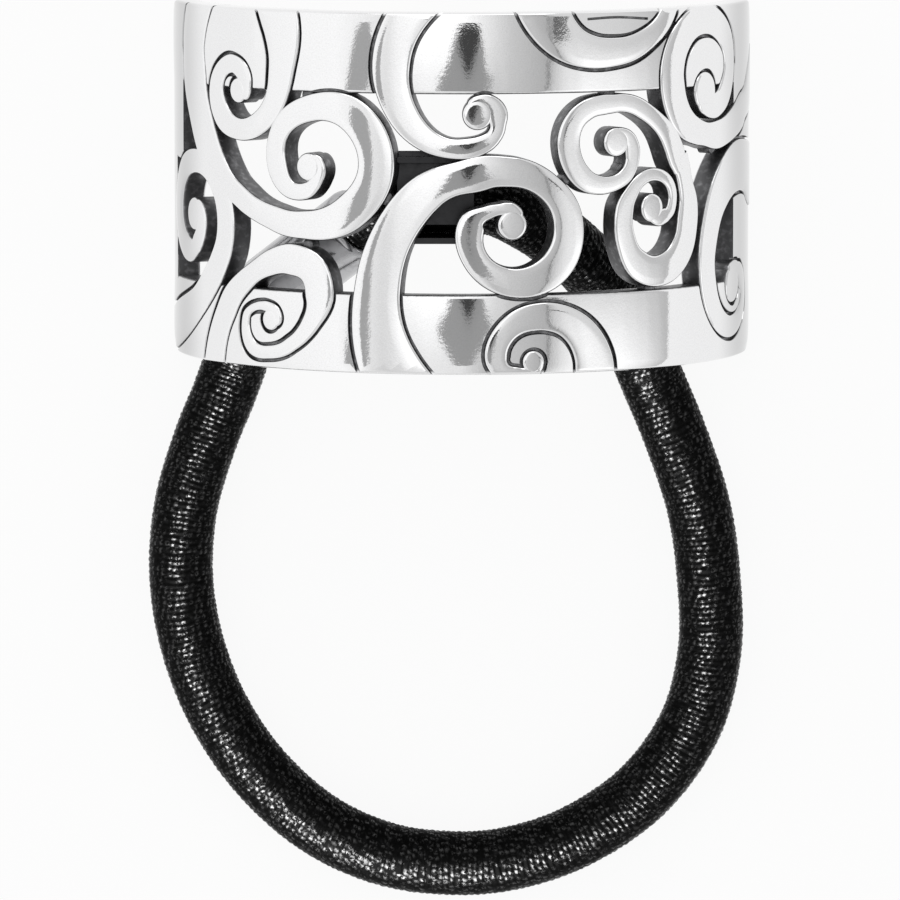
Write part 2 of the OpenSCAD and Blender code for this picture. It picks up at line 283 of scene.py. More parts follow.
SCROLLS = (
    scroll(
        "a", (3.85, -2.1),
        (290, 27, 20), (270, 21.5, 14.7), (247, 18.9, 13.4), (225, 16.6, 11.5),
        (202, 13.2, 8.9), (180, 10.5, 6.6), (157, 8.35, 4.8), (135, 6.45, 3.3),
        (112, 5.45, 2.8), (90, 4.95, 2.6), (45, 4.9, 2.75), (0, 5.7, 3.2),
        (-45, 6.2, 3.55), (-90, 5.75, 3.5), (-135, 5.05, 2.95), (-180, 4.2, 1.8),
        (-202, 2.8, 1.15), (-225, 1.95, 0.75), (-250, 1.62, 0.55), (-270, 1.5, 0.45),
        (-292, 1.32, 0.35), (-315, 1.15, 0.3), (-345, 0.75, 0.2),
    ),
    scroll(
        "b", (1.3, 6.2),
        (90, 12.5, 9.2), (112, 11.3, 8.1), (135, 10.25, 6.95), (157, 9.0, 5.7),
        (180, 7.35, 4.5), (202, 5.95, 3.6), (225, 4.7, 2.8), (247, 3.9, 2.1),
        (270, 3.35, 1.75), (300, 2.85, 1.5), (315, 2.65, 1.25), (335, 2.4, 0.8),
        (360, 2.2, 0.55), (405, 1.7, 0.45), (450, 1.33, 0.4), (495, 1.2, 0.3), (530, 0.8, 0.2),
    ),
    scroll(
        "c", (-12.3, 2.0),
        (125, 19.5, 16.2), (135, 19.5, 15.65), (146, 19.4, 14.6), (157, 18.0, 12.4),
        (168, 15.4, 10.4), (180, 12.9, 8.65), (190, 10.8, 7.5), (202, 8.7, 6.25),
        (225, 6.75, 4.6), (247, 6.0, 3.85), (270, 5.7, 3.45), (315, 6.4, 3.5),
        (360, 7.15, 4.2), (405, 6.8, 4.0), (450, 5.35, 3.2), (495, 4.65, 2.75),
        (540, 4.05, 2.0), (585, 3.4, 1.85), (612, 2.9, 1.45), (630, 2.6, 1.15),
        (652, 2.15, 0.85), (675, 1.82, 0.6), (720, 1.5, 0.4), (765, 1.15, 0.3), (795, 0.75, 0.2),
    ),
    scroll(
        "d", (-19.6, 7.4),
        (85, 12.6, 10.0), (67, 10.9, 6.55), (45, 8.9, 4.6), (22, 6.65, 3.65),
        (0, 5.55, 3.2), (-45, 4.4, 2.45), (-90, 3.85, 2.1), (-135, 3.95, 1.75),
        (-180, 3.85, 1.8), (-225, 3.2, 1.6), (-250, 2.92, 1.3), (-270, 2.65, 0.95),
        (-292, 2.4, 0.65), (-315, 2.1, 0.45), (-345, 1.7, 0.35), (-365, 1.6, 0.3),
        (-385, 1.4, 0.25), (-410, 0.75, 0.2),
    ),
    scroll(
        "e", (-25.9, -2.6),
        (215, 20, 12.5), (225, 16.5, 10.4), (238, 13.0, 7.8), (252, 10.5, 6.25),
        (270, 8.4, 5.2), (292, 7.0, 4.2), (315, 6.3, 3.8), (337, 6.1, 3.7),
        (360, 5.9, 3.55), (405, 5.5, 3.4), (450, 5.15, 3.25), (495, 5.6, 3.35),
        (540, 5.9, 3.25), (585, 4.7, 2.35), (612, 3.9, 1.85), (630, 3.3, 1.1),
        (652, 2.7, 0.65), (675, 2.25, 0.45), (720, 1.82, 0.35), (765, 1.5, 0.3),
        (810, 1.2, 0.25), (840, 0.8, 0.2),
    ),
    scroll(
        "f", (-16.0, -10.0),
        (225, 12.0, 7.4), (203, 9.0, 5.4), (180, 6.8, 3.95), (157, 5.65, 3.3),
        (135, 4.95, 3.02), (112, 4.85, 3.1), (90, 5.45, 3.3), (67, 6.45, 3.85),
        (45, 7.0, 4.4), (22, 6.4, 3.6), (0, 4.85, 2.9), (-22, 3.85, 2.35),
        (-45, 3.27, 2.0), (-90, 3.0, 1.9), (-135, 3.55, 2.3), (-180, 3.1, 2.15),
        (-190, 2.95, 2.0), (-203, 2.55, 1.6), (-219, 2.1, 1.13), (-240, 1.72, 0.7),
        (-270, 1.42, 0.45), (-315, 1.34, 0.35), (-360, 1.2, 0.3), (-395, 0.8, 0.2),
    ),
    scroll(
        "g", (5.4, -12.5),
        (-45, 9.3, 4.7), (-22, 7.5, 3.75), (0, 6.7, 3.3), (22, 5.9, 2.95),
        (45, 5.15, 2.6), (67, 4.6, 2.25), (90, 4.2, 2.05), (135, 3.8, 1.98),
        (180, 3.7, 1.9), (200, 3.35, 1.7), (225, 2.9, 0.95), (250, 2.3, 0.6),
        (290, 1.4, 0.5), (325, 1.12, 0.4), (355, 0.8, 0.2),
    ),
    scroll(
        "h", (12.0, 14.8),
        (175, 8.4, 3.8), (202, 7.4, 3.55), (225, 6.6, 3.4), (247, 5.87, 3.2),
        (270, 5.4, 3.1), (292, 5.4, 3.3), (315, 5.65, 3.75), (337, 6.3, 4.5),
        (355, 6.8, 5.2),
    ),
    scroll(
        "i", (12.4, 3.8),
        (-20, 8.3, 5.75), (-15, 7.75, 5.1), (0, 6.5, 4.15),
        (22, 4.95, 3.15), (45, 4.15, 2.55), (90, 3.6, 2.15), (112, 3.85, 2.2),
        (135, 4.4, 2.65), (157, 4.85, 3.05), (180, 5.05, 3.15), (225, 4.85, 3.05),
        (247, 4.35, 2.8), (270, 3.8, 2.45), (290, 3.45, 2.05), (305, 3.15, 1.6),
        (323, 2.75, 1.05), (340, 2.4, 0.75), (360, 2.0, 0.6), (405, 1.32, 0.5),
        (440, 1.05, 0.4), (470, 0.75, 0.3),
    ),
    scroll(
        "l", (16.0, -1.1),
        (50, 5.4, 3.2), (22, 4.7, 2.9), (0, 5.05, 2.8),
        (-22, 5.45, 2.85), (-45, 6.05, 3.4), (-68, 6.4, 3.85), (-90, 6.36, 3.95),
        (-112, 5.95, 3.5), (-135, 4.9, 2.75), (-158, 4.1, 2.2), (-180, 3.6, 1.85),
        (-202, 3.05, 1.68), (-225, 2.85, 1.7), (-270, 2.75, 1.7), (-315, 2.75, 1.75),
        (-338, 2.65, 1.65), (-360, 2.5, 1.5), (-382, 2.4, 1.3), (-396, 2.3, 0.9),
        (-410, 2.12, 0.65), (-430, 1.88, 0.5), (-450, 1.6, 0.4), (-475, 1.3, 0.3),
        (-500, 0.8, 0.2),
    ),
    scroll(
        "j", (22.3, 7.4),
        (15, 18, 12.0), (0, 14.0, 8.0), (-8, 11.8, 6.6), (-15, 9.8, 5.4),
        (-30, 7.5, 4.2), (-45, 6.15, 3.5), (-67, 5.2, 2.8), (-90, 4.5, 2.55),
        (-112, 4.55, 2.4), (-135, 4.95, 2.45), (-180, 5.6, 2.8), (-202, 6.0, 3.25),
        (-225, 6.35, 3.75), (-248, 6.55, 4.1), (-270, 6.5, 4.1), (-292, 6.25, 3.95),
        (-315, 6.0, 3.7), (-338, 5.3, 3.05), (-360, 4.65, 2.15), (-380, 4.0, 1.5),
        (-400, 3.35, 0.95), (-427, 2.6, 0.6), (-450, 2.15, 0.5), (-475, 1.95, 0.4),
        (-500, 1.6, 0.3), (-530, 1.0, 0.2),
    ),
    scroll(
        "k", (27.2, -7.8),
        (40, 15.0, 8.0), (55, 12.6, 7.3), (67, 11.6, 7.3), (90, 10.7, 6.6),
        (112, 9.2, 5.65), (135, 7.45, 4.55), (157, 6.4, 3.85), (180, 5.7, 3.25),
        (225, 4.9, 2.8), (270, 4.3, 2.57), (315, 4.0, 2.4), (340, 3.7, 2.0),
        (362, 3.35, 1.15), (385, 2.7, 0.7), (405, 2.05, 0.5), (450, 1.6, 0.4),
        (490, 1.5, 0.3), (520, 0.9, 0.2),
    ),
)

EYES = (
    Disc(3.85, -2.35, 1.15), Disc(1.18, 6.02, 1.17), Disc(-12.3, 1.85, 1.08), Disc(-19.5, 7.37, 0.98),
    Disc(-26.32, -2.5, 1.28), Disc(-15.93, -9.95, 0.85), Disc(5.5, -12.75, 0.88), Disc(12.38, 3.74, 1.13),
    Disc(15.83, -1.42, 1.12), Disc(22.1, 7.2, 1.5), Disc(27.0, -8.0, 1.45),
)

BEADS = (
    Disc(-12.6, 7.3, 0.5), Disc(-8.8, 7.1, 0.4), Disc(-15.3, 5.1, 0.5), Disc(0.5, 2.9, 0.5),
    Disc(1.4, 7.3, 0.5), Disc(12.0, 7.4, 0.5), Disc(4.0, -7.8, 0.6), Disc(-12.6, -4.1, 0.45),
    Disc(-5.9, -0.4, 0.5), Disc(16.0, -7.6, 0.5), Disc(18.6, -0.2, 0.35), Disc(13.3, 1.5, 0.6),
    Disc(18.9, 4.2, 0.5), Disc(23.9, 2.9, 0.6), Disc(-21.0, -8.0, 0.6), Disc(8.2, 1.0, 0.4),
)

RIM_LINE = ((9.8, 13.12), (12.4, 13.2), (15.3, 13.0))
RIM_LINE_WIDTH = 0.2

SLEEVE_TOP = np.array((-7.7, -2.6, 13.9))
SLEEVE_END = np.array((-14.9, -8.7, 6.5))
ROUTE = (
    (-6.6, -1.75, 14.9), (-5.4, -1.15, 15.55),
    (-4.1, -0.85, 15.85), (-1.7, -0.8, 15.9), (0.1, -0.8, 15.9), (1.5, -0.85, 15.85),
    (3.0, -1.2, 15.45), (4.7, -2.1, 14.4), (6.5, -3.3, 13.0),
    (8.4, -4.9, 11.2), (10.2, -6.9, 9.0), (11.9, -9.4, 6.6), (13.4, -12.3, 4.3),
    (14.8, -15.7, 2.9), (16.7, -20.3, 2.6), (18.5, -25.8, 2.55), (19.3, -31.4, 2.55),
    (19.4, -37.1, 2.55), (17.9, -43.0, 2.55), (14.2, -48.2, 2.55), (9.0, -51.8, 2.55),
    (3.6, -53.6, 2.55), (-1.4, -53.9, 2.55), (-6.3, -53.1, 2.55), (-11.2, -50.8, 2.55),
    (-15.6, -46.9, 2.55), (-18.9, -42.1, 2.55), (-21.0, -36.8, 2.55), (-21.9, -31.3, 2.55),
    (-21.5, -25.7, 2.55), (-20.0, -20.6, 2.55), (-18.5, -16.9, 2.6), (-17.5, -14.1, 2.9),
    (-16.7, -11.4, 4.2), (-15.9, -9.8, 5.4),
)

ROOM_BRIGHTNESS = 0.8
SKY_RADIUS = 1500.0
SKY_HALF_LENGTH = 1500.0
SKY_STEP = 6.0
SKY_UPPER_FROM = -40.0
SKY_LOWER_FROM = -230.0
SKY = (
    SkyRow(-90, 1.05, 1.00),
    SkyRow(-50, 1.10, 1.10),
    SkyRow(-31, 0.92, 0.73),
    SkyRow(-25, 1.13, 0.78),
    SkyRow(-14, 1.26, 0.95),
    SkyRow(0, 1.21, 0.89),
    SkyRow(9, 0.95, 0.59),
    SkyRow(19, 0.67, 0.63),
    SkyRow(33.5, 0.48, 0.50),
    SkyRow(34.3, 0.21, 0.21),
    SkyRow(35.2, 0.53, 0.58),
    SkyRow(40, 0.76, 0.89),
    SkyRow(52, 0.78, 1.30),
    SkyRow(66, 0.73, 1.25),
    SkyRow(78, 0.65, 1.00),
    SkyRow(90, 0.53, 0.58),
)
PANELS = (
    Panel("front", -18, -42, 46, 56, 38.0, elastic_only=True),
    Panel("back", 0, 66, 50, 24, 1.2),
)
CARDS = (
    Card(
        "grey_card", 660, 0.36,
        (
            (-15, -118), (30, -118), (52, -105), (114, -70), (150, -66), (105, -42), (97, -15),
            (60, 0), (-22, 0), (-46, -22), (-80, -50), (-115, -64), (-62, -92),
        ),
    ),
    Card(
        "dark_card", 650, 0.06,
        (
            (20, -48), (36, -48), (52, -32), (72, -15), (88, 2), (60, 14),
            (10, 12), (-14, 0), (-16, -14), (6, -28),
        ),
    ),
    Card(
        "small_card", 660, 0.15,
        ((470, -42), (476, -12), (560, -8), (650, -10), (600, -26), (540, -36)),
    ),
    Card(
        "side_card", 660, 0.42,
        (
            (-478, 0), (-490, 16), (-535, 14), (-595, -10), (-645, -55),
            (-685, -100), (-715, -165), (-640, -165), (-600, -120), (-520, -100), (-478, -60),
        ),
    ),
)


class Loft:
    """Vertices and faces of one mesh, in millimetres, grown ring by ring."""

    def __init__(self) -> None:
        """Start without any point or face."""
        self.points: list[np.ndarray] = []
        self.faces: list[tuple[int, ...]] = []
        self.count = 0

    def rings(self, rings: np.ndarray) -> "Loft":
        """Join rings of points into a tube with closed ends.

        Args:
            rings: array of ring, point and coordinate.

        Returns:
            This loft.
        """
        n, m = rings.shape[:2]
        base = self.count
        self.points.append(rings.reshape(-1, 3))
        self.count += n * m
        for k in range(n - 1):
            a, b = base + k * m, base + (k + 1) * m
            self.faces.extend((a + i, a + (i + 1) % m, b + (i + 1) % m, b + i) for i in range(m))
        self.faces.append(tuple(base + i for i in reversed(range(m))))
        self.faces.append(tuple(base + (n - 1) * m + i for i in range(m)))
        return self

    def to_object(self, name: str, smooth_angle: float = 38.0) -> bpy.types.Object:
        """Make a Blender object whose faces point outwards.

        Args:
            name: the object's name.
            smooth_angle: edges sharper than this many degrees stay sharp.

        Returns:
            The linked object.
        """
        mesh = bpy.data.meshes.new(name)
        mesh.from_pydata((np.concatenate(self.points) * MM).tolist(), [], self.faces)
        mesh.update()
        if signed_volume(mesh) < 0:
            mesh.flip_normals()
        soften(mesh, smooth_angle)
        obj = bpy.data.objects.new(name, mesh)
        bpy.context.scene.collection.objects.link(obj)
        return obj


def signed_volume(mesh: bpy.types.Mesh) -> float:
    """Six times the volume of a closed mesh.

    Args:
        mesh: the closed mesh.

    Returns:
        The figure, negative where the faces point inwards.
    """
    mesh.calc_loop_triangles()
    points = np.empty(len(mesh.vertices) * 3)
    mesh.vertices.foreach_get("co", points)
    corners = np.empty(len(mesh.loop_triangles) * 3, dtype=np.int32)
    mesh.loop_triangles.foreach_get("vertices", corners)
    a, b, c = points.reshape(-1, 3)[corners.reshape(-1, 3)].transpose(1, 0, 2)
    return float((a * np.cross(b, c)).sum())


def soften(mesh: bpy.types.Mesh, angle: float) -> None:
    """Shade a mesh smooth, with edges sharper than the angle in degrees left sharp."""
    mesh.polygons.foreach_set("use_smooth", [True] * len(mesh.polygons))
    mesh.set_sharp_from_angle(angle=math.radians(angle))


def discard(objects: Iterable[bpy.types.Object]) -> None:
    """Remove helper objects and their meshes.

    Args:
        objects: the helpers.
    """
    for obj in list(objects):
        mesh = obj.data
        bpy.data.objects.remove(obj)
        bpy.data.meshes.remove(mesh)


def evaluated_mesh(obj: bpy.types.Object) -> bpy.types.Mesh:
    """A new plain mesh of an object as its modifiers leave it."""
    graph = bpy.context.evaluated_depsgraph_get()
    return bpy.data.meshes.new_from_object(obj.evaluated_get(graph))


def apply_boolean(target: bpy.types.Object, tools: Sequence[bpy.types.Object], kind: Boolean) -> None:
    """Cut a target with tools, or keep what it shares with them, and remove the tools.

    Args:
        target: the object to change.
        tools: closed helper objects.
        kind: which operation.
    """
    group = bpy.data.collections.new("tools")
    bpy.context.scene.collection.children.link(group)
    for tool in tools:
        group.objects.link(tool)
    modifier = target.modifiers.new("boolean", "BOOLEAN")
    modifier.operation = kind.value
    modifier.solver = "MANIFOLD"
    modifier.operand_type = "COLLECTION"
    modifier.collection = group
    old = target.data
    target.data = evaluated_mesh(target)
    target.modifiers.clear()
    bpy.data.meshes.remove(old)
    bpy.data.collections.remove(group)
    discard(tools)


def join(name: str, objects: Sequence[bpy.types.Object]) -> bpy.types.Object:
    """Join objects that sit at the origin into one, keeping their materials.

    Args:
        name: name of the joined object.
        objects: the objects, which are removed.

    Returns:
        The joined object.
    """
    first = objects[0]
    with bpy.context.temp_override(active_object=first, selected_editable_objects=list(objects)):
        bpy.ops.object.join()
    first.name = name
    first.data.name = name
    return first


def cubic_through(knots: np.ndarray, values: np.ndarray, at: np.ndarray) -> np.ndarray:
    """Cubic curve through values at increasing knots, with the slope of its neighbours at each.

    Args:
        knots: where the values are, in increasing order.
        values: one row per knot.
        at: where to read the curve.

    Returns:
        One row per place read.
    """
    low = np.r_[0, np.arange(len(knots) - 1)]
    high = np.r_[np.arange(1, len(knots)), len(knots) - 1]
    slopes = (values[high] - values[low]) / (knots[high] - knots[low])[:, None]
    k = np.clip(np.searchsorted(knots, at, side="right") - 1, 0, len(knots) - 2)
    span = (knots[k + 1] - knots[k])[:, None]
    s = (at - knots[k])[:, None] / span
    return (
        values[k] * (2 * s**3 - 3 * s**2 + 1)
        + slopes[k] * span * (s**3 - 2 * s**2 + s)
        + values[k + 1] * (3 * s**2 - 2 * s**3)
        + slopes[k + 1] * span * (s**3 - s**2)
    )


def arc_points(centre: tuple[float, float], r: float, start: float, end: float, parts: int) -> np.ndarray:
    """Points of an arc in a plane.

    Args:
        centre: middle of the arc.
        r: radius.
        start: first angle, in degrees.
        end: last angle, in degrees.
        parts: how many chords the arc has.

    Returns:
        One row per point, both ends included.
    """
    angles = np.radians(np.linspace(start, end, parts + 1))
    return np.array(centre) + r * np.stack([np.cos(angles), np.sin(angles)], 1)


class Value:
    """A number in a tree of nodes that takes part in plain arithmetic."""

    def __init__(self, nodes: "Nodes", socket: bpy.types.NodeSocket) -> None:
        """Wrap the socket of a node in the tree."""
        self.nodes = nodes
        self.socket = socket

    def maths(self, operation: str, *operands: "Value | float") -> "Value":
        """Add a Math node.

        Args:
            operation: the node's operation.
            *operands: what follows this value in it.

        Returns:
            The result.
        """
        made = self.nodes.node("ShaderNodeMath", operation=operation)
        for place, operand in enumerate((self, *operands)):
            self.nodes.feed(made.inputs[place], operand)
        return Value(self.nodes, made.outputs[0])

    def __add__(self, other: "Value | float") -> "Value":
        """This value and another."""
        return self.maths("ADD", other)

    def __radd__(self, other: float) -> "Value":
        """A number and this value."""
        return self.maths("ADD", other)

    def __sub__(self, other: "Value | float") -> "Value":
        """This value less another."""
        return self.maths("SUBTRACT", other)

    def __rsub__(self, other: float) -> "Value":
        """A number less this value."""
        return self * -1 + other

    def __mul__(self, other: "Value | float") -> "Value":
        """This value times another."""
        return self.maths("MULTIPLY", other)

    def __rmul__(self, other: float) -> "Value":
        """A number times this value."""
        return self.maths("MULTIPLY", other)

    def __truediv__(self, other: "Value | float") -> "Value":
        """This value over another."""
        return self.maths("DIVIDE", other)

    def __pow__(self, power: float) -> "Value":
        """This value to a power."""
        return self.maths("POWER", power)

    def root(self) -> "Value":
        """Square root."""
        return self.maths("SQRT")

    def size(self) -> "Value":
        """Absolute value."""
        return self.maths("ABSOLUTE")

    def rise(self, low: float, high: float) -> "Value":
        """A soft step.

        Args:
            low: where it begins to rise from 0.
            high: where it has reached 1.

        Returns:
            The step's value.
        """
        made = self.nodes.node("ShaderNodeMapRange", interpolation_type="SMOOTHSTEP")
        self.nodes.feed(made.inputs["Value"], self)
        made.inputs["From Min"].default_value = low
        made.inputs["From Max"].default_value = high
        return Value(self.nodes, made.outputs["Result"])

    def between(self, low: float, high: float) -> "Value":
        """A value from 0 to 1 spread from low to high."""
        return self * (high - low) + low


class Nodes:
    """A tree of nodes that is being built."""

    def __init__(self, tree: bpy.types.NodeTree) -> None:
        """Build in the given tree."""
        self.tree = tree

    def node(self, kind: str, **settings: object) -> bpy.types.Node:
        """Make a node.

        Args:
            kind: the node's type.
            **settings: its properties.

        Returns:
            The node.
        """
        made = self.tree.nodes.new(kind)
        for key, value in settings.items():
            setattr(made, key, value)
        return made

    def feed(self, socket: bpy.types.NodeSocket, value: object) -> None:
        """Link a value to a socket, or set a constant on the socket itself.

        Args:
            socket: the input.
            value: a value, a socket or a constant.
        """
        if isinstance(value, Value):
            self.tree.links.new(value.socket, socket)
        elif isinstance(value, bpy.types.NodeSocket):
            self.tree.links.new(value, socket)
        else:
            socket.default_value = value


Colour = tuple[float, float, float] | bpy.types.NodeSocket


def darker(colour: tuple[float, float, float], share: float) -> tuple[float, float, float]:
    """A colour with a share of its brightness."""
    return tuple(part * share for part in colour)


class Shader(Nodes):
    """The nodes of one material."""

    def __init__(self, name: str) -> None:
        """Start a material with a plain surface.

        Args:
            name: the material's name.
        """
        self.material = bpy.data.materials.new(name)
        self.material.use_nodes = True
        super().__init__(self.material.node_tree)
        self.tree.nodes.clear()
        self.surface = self.node("ShaderNodeBsdfPrincipled")
        output = self.node("ShaderNodeOutputMaterial")
        self.tree.links.new(self.surface.outputs["BSDF"], output.inputs["Surface"])
        self.object_place = self.node("ShaderNodeTexCoord").outputs["Object"]

    def set(self, name: str, value: object) -> None:
        """Link a value to one of the surface's sockets, or set a constant on it."""
        self.feed(self.surface.inputs[name], value)

    def axes(self) -> tuple[Value, Value, Value]:
        """The place on the object along each axis.

        Returns:
            Three distances from the origin, in millimetres.
        """
        parts = self.node("ShaderNodeSeparateXYZ")
        self.feed(parts.inputs[0], self.object_place)
        return tuple(Value(self, out) * (1 / MM) for out in parts.outputs)

    def noise(self, cell: float, detail: float = 2.0, roughness: float = 0.5) -> Value:
        """Soft noise.

        Args:
            cell: size of its cells, in millimetres.
            detail: how many finer layers lie over it.
            roughness: how strong those are.

        Returns:
            The noise, from 0 to 1.
        """
        made = self.node("ShaderNodeTexNoise")
        self.feed(made.inputs["Vector"], self.object_place)
        made.inputs["Scale"].default_value = 1 / (cell * MM)
        made.inputs["Detail"].default_value = detail
        made.inputs["Roughness"].default_value = roughness
        return Value(self, made.outputs["Fac"])

    def attribute(self, name: str) -> Value:
        """A number kept on the mesh."""
        return Value(self, self.node("ShaderNodeAttribute", attribute_name=name).outputs["Fac"])

    def blend(self, factor: Value, low: Colour, high: Colour) -> bpy.types.NodeSocket:
        """Mix two colours.

        Args:
            factor: 0 for the first colour, 1 for the second.
            low: the first colour.
            high: the second colour.

        Returns:
            The mixed colour.
        """
        made = self.node("ShaderNodeMix", data_type="RGBA")
        self.feed(made.inputs["Factor"], factor)
        colour_inputs = [socket for socket in made.inputs if socket.type == "RGBA"]
        for socket, colour in zip(colour_inputs, (low, high)):
            self.feed(socket, (*colour, 1) if isinstance(colour, tuple) else colour)
        return next(socket for socket in made.outputs if socket.type == "RGBA")

    def bump(self, height: Value, distance: float, strength: float) -> None:
        """Roughen the surface, on top of what already roughens it.

        Args:
            height: the relief, from 0 to 1.
            distance: its full height, in millimetres.
            strength: how much of it shows.
        """
        made = self.node("ShaderNodeBump")
        made.inputs["Strength"].default_value = strength
        made.inputs["Distance"].default_value = distance * MM
        self.feed(made.inputs["Height"], height)
        normal = self.surface.inputs["Normal"]
        if normal.links:
            self.tree.links.new(normal.links[0].from_socket, made.inputs["Normal"])
        self.tree.links.new(made.outputs["Normal"], normal)


class Finish:
    """A finish, whose material is made once, on first use."""

    name: str

    @cached_property
    def material(self) -> bpy.types.Material:
        """The finish's own material.

        Returns:
            The material.
        """
        shader = Shader(self.name)
        self.paint(shader)
        return shader.material

    def paint(self, shader: Shader) -> None:
        """Set the sockets of the material's surface."""
        raise NotImplementedError


@dataclass(frozen=True)
class SilverFinish(Finish):
    """Polished cast white metal, blackened wherever the polishing wheel can't reach.

    The ends grow darker with the distance from the middle as painted shade, the rim is polished up to its
    edge, and what lies deep in the wall is black except for the inner face.
    """

    cuff: CuffSize
    name: str = "cast_metal"
    bright: tuple[float, float, float] = (0.88, 0.88, 0.885)
    black: tuple[float, float, float] = (0.15, 0.15, 0.154)
    worn_share: float = 0.93
    # painted shade: how bright the polished metal stays at the steep ends
    end_shade_share: float = 0.62
    rubbed_share: float = 2.2
    end_from: float = 19.6
    end_to: float = 21.8
    rim_from: float = 0.35
    rim_to: float = 0.1
    black_from: float = 0.08
    black_to: float = 0.15
    black_ragged: float = 0.05
    black_roughness: float = 0.4
    inner_from: float = 0.16
    inner_to: float = 0.04
    inner_roughness: float = 0.15

    def paint(self, shader: Shader) -> None:
        """Polish the outer face, the rims and the inner face, and blacken the rest.

        Args:
            shader: the nodes of the material.
        """
        x, y, z = shader.axes()
        depth = self.cuff.outer_r - (x**2 + (z - self.cuff.axis_z) ** 2).root()
        half_height = self.cuff.height / 2
        rim = y.size().rise(half_height - self.rim_from, half_height - self.rim_to)
        ragged = (shader.noise(cell=0.35, detail=3) - 0.5) * self.black_ragged
        dark = (depth + ragged).rise(self.black_from, self.black_to) * (1 - rim)
        inner = depth.rise(self.cuff.wall - self.inner_from, self.cuff.wall - self.inner_to)
        grit = shader.noise(cell=0.1, detail=1).between(-0.6, 1.6)
        # painted shade: the steep ends are darkened in colour, not by the lights
        end_shade = x.size().rise(self.end_from, self.end_to)
        rubbed = shader.noise(cell=0.5, detail=3).rise(0.45, 0.8)
        bright = shader.blend(grit, self.bright, darker(self.bright, self.worn_share))
        bright = shader.blend(end_shade, bright, darker(self.bright, self.end_shade_share))
        black = shader.blend(rubbed, self.black, darker(self.black, self.rubbed_share))
        polish = shader.noise(cell=1.2, detail=3).between(0.02, 0.05)
        shader.set("Base Color", shader.blend(dark * (1 - inner), bright, black))
        shader.set("Roughness", polish + dark * self.black_roughness + inner * self.inner_roughness)
        shader.set("Metallic", 1.0)
        shader.bump(shader.noise(cell=2.5), distance=0.012, strength=0.6)
        shader.bump(shader.noise(cell=0.22, detail=3, roughness=0.6), distance=0.004, strength=0.6)


@dataclass(frozen=True)
class SleeveFinish(Finish):
    """Drawn metal with a soft mottled shine."""

    name: str
    colour: tuple[float, float, float]
    roughness: float
    roughness_spread: float = 0.1
    mottle_share: float = 0.72

    def paint(self, shader: Shader) -> None:
        """Mottle the metal in brightness and in shine.

        Args:
            shader: the nodes of the material.
        """
        mottle = shader.noise(cell=0.8, detail=3).rise(0.45, 0.8)
        dullest = self.roughness + self.roughness_spread
        shine = shader.noise(cell=0.4, detail=3).between(self.roughness, dullest)
        shader.set("Base Color", shader.blend(mottle, self.colour, darker(self.colour, self.mottle_share)))
        shader.set("Roughness", shine)
        shader.set("Metallic", 1.0)
        shader.bump(shader.noise(cell=0.15), distance=0.004, strength=0.5)


@dataclass(frozen=True)
class ElasticFinish(Finish):
    """Black wound thread with small stitches that catch the light."""

    name: str = "elastic"
    black: tuple[float, float, float] = (0.0005, 0.0005, 0.0005)
    worn: tuple[float, float, float] = (0.0015, 0.0015, 0.0016)

    def paint(self, shader: Shader) -> None:
        """Blacken the thread and let its raised stitches shine.

        Args:
            shader: the nodes of the material.
        """
        dusty = shader.noise(cell=0.5).rise(0.5, 0.8)
        strands = shader.noise(cell=0.2, detail=1).rise(0.4, 0.56)
        shader.set("Base Color", shader.blend(dusty, self.black, self.worn))
        shader.set("Roughness", shader.noise(cell=0.25, detail=1).between(0.3, 0.5))
        shader.set("Specular IOR Level", 0.01)
        shader.set("Coat Weight", shader.attribute("shine") * strands)
        shader.set("Coat Roughness", 0.25)
        shader.set("Coat IOR", 1.5)
        shader.set("Sheen Weight", 0.09)
        shader.set("Sheen Roughness", 0.25)
        shader.bump(shader.noise(cell=0.12), distance=0.01, strength=0.6)


@dataclass(frozen=True)
class PaperFinish(Finish):
    """Plain matt paper, which may glow."""

    name: str
    colour: tuple[float, float, float]
    glow: float = 0.0

    def paint(self, shader: Shader) -> None:
        """Colour the paper and let it glow.

        Args:
            shader: the nodes of the material.
        """
        shader.set("Base Color", (*self.colour, 1))
        shader.set("Emission Color", (1, 1, 1, 1))
        shader.set("Emission Strength", self.glow)
        shader.set("Roughness", 0.9)
        shader.set("Specular IOR Level", 0.1)


@dataclass(frozen=True)
class SkyFinish(Finish):
    """A ceiling that glows as strongly as the number kept on its mesh says."""

    name: str = "sky"
    attribute: str = "glow"

    def paint(self, shader: Shader) -> None:
        """Let the ceiling glow, and nothing else.

        Args:
            shader: the nodes of the material.
        """
        shader.set("Base Color", (0, 0, 0, 1))
        shader.set("Emission Color", shader.attribute(self.attribute))
        shader.set("Emission Strength", 1.0)
        shader.set("Specular IOR Level", 0.0)


def dress(obj: bpy.types.Object, finish: Finish) -> bpy.types.Object:
    """Give an object one finish all over.

    Args:
        obj: the object.
        finish: its finish.

    Returns:
        The same object.
    """
    obj.data.materials.clear()
    obj.data.materials.append(finish.material)
    return obj


class Wall:
    """The bent wall of the cuff, which turns unrolled places into places in space."""

    def __init__(self, size: CuffSize) -> None:
        """Bend to the cuff's size."""
        self.size = size

    def bent(self, u: np.ndarray, v: np.ndarray, depth: np.ndarray) -> np.ndarray:
        """Places in space of unrolled places.

        Args:
            u: place across.
            v: place up.
            depth: depth under the outer face.

        Returns:
            Array with the coordinates last.
        """
        angle = u / self.size.outer_r
        r = self.size.outer_r - depth
        return np.stack(np.broadcast_arrays(r * np.sin(angle), v, self.size.axis_z + r * np.cos(angle)), -1)

    def end_angle(self, depth: np.ndarray) -> np.ndarray:
        """Angle at which the wall meets the surface, for each depth."""
        return np.arccos(-self.size.axis_z / (self.size.outer_r - depth))


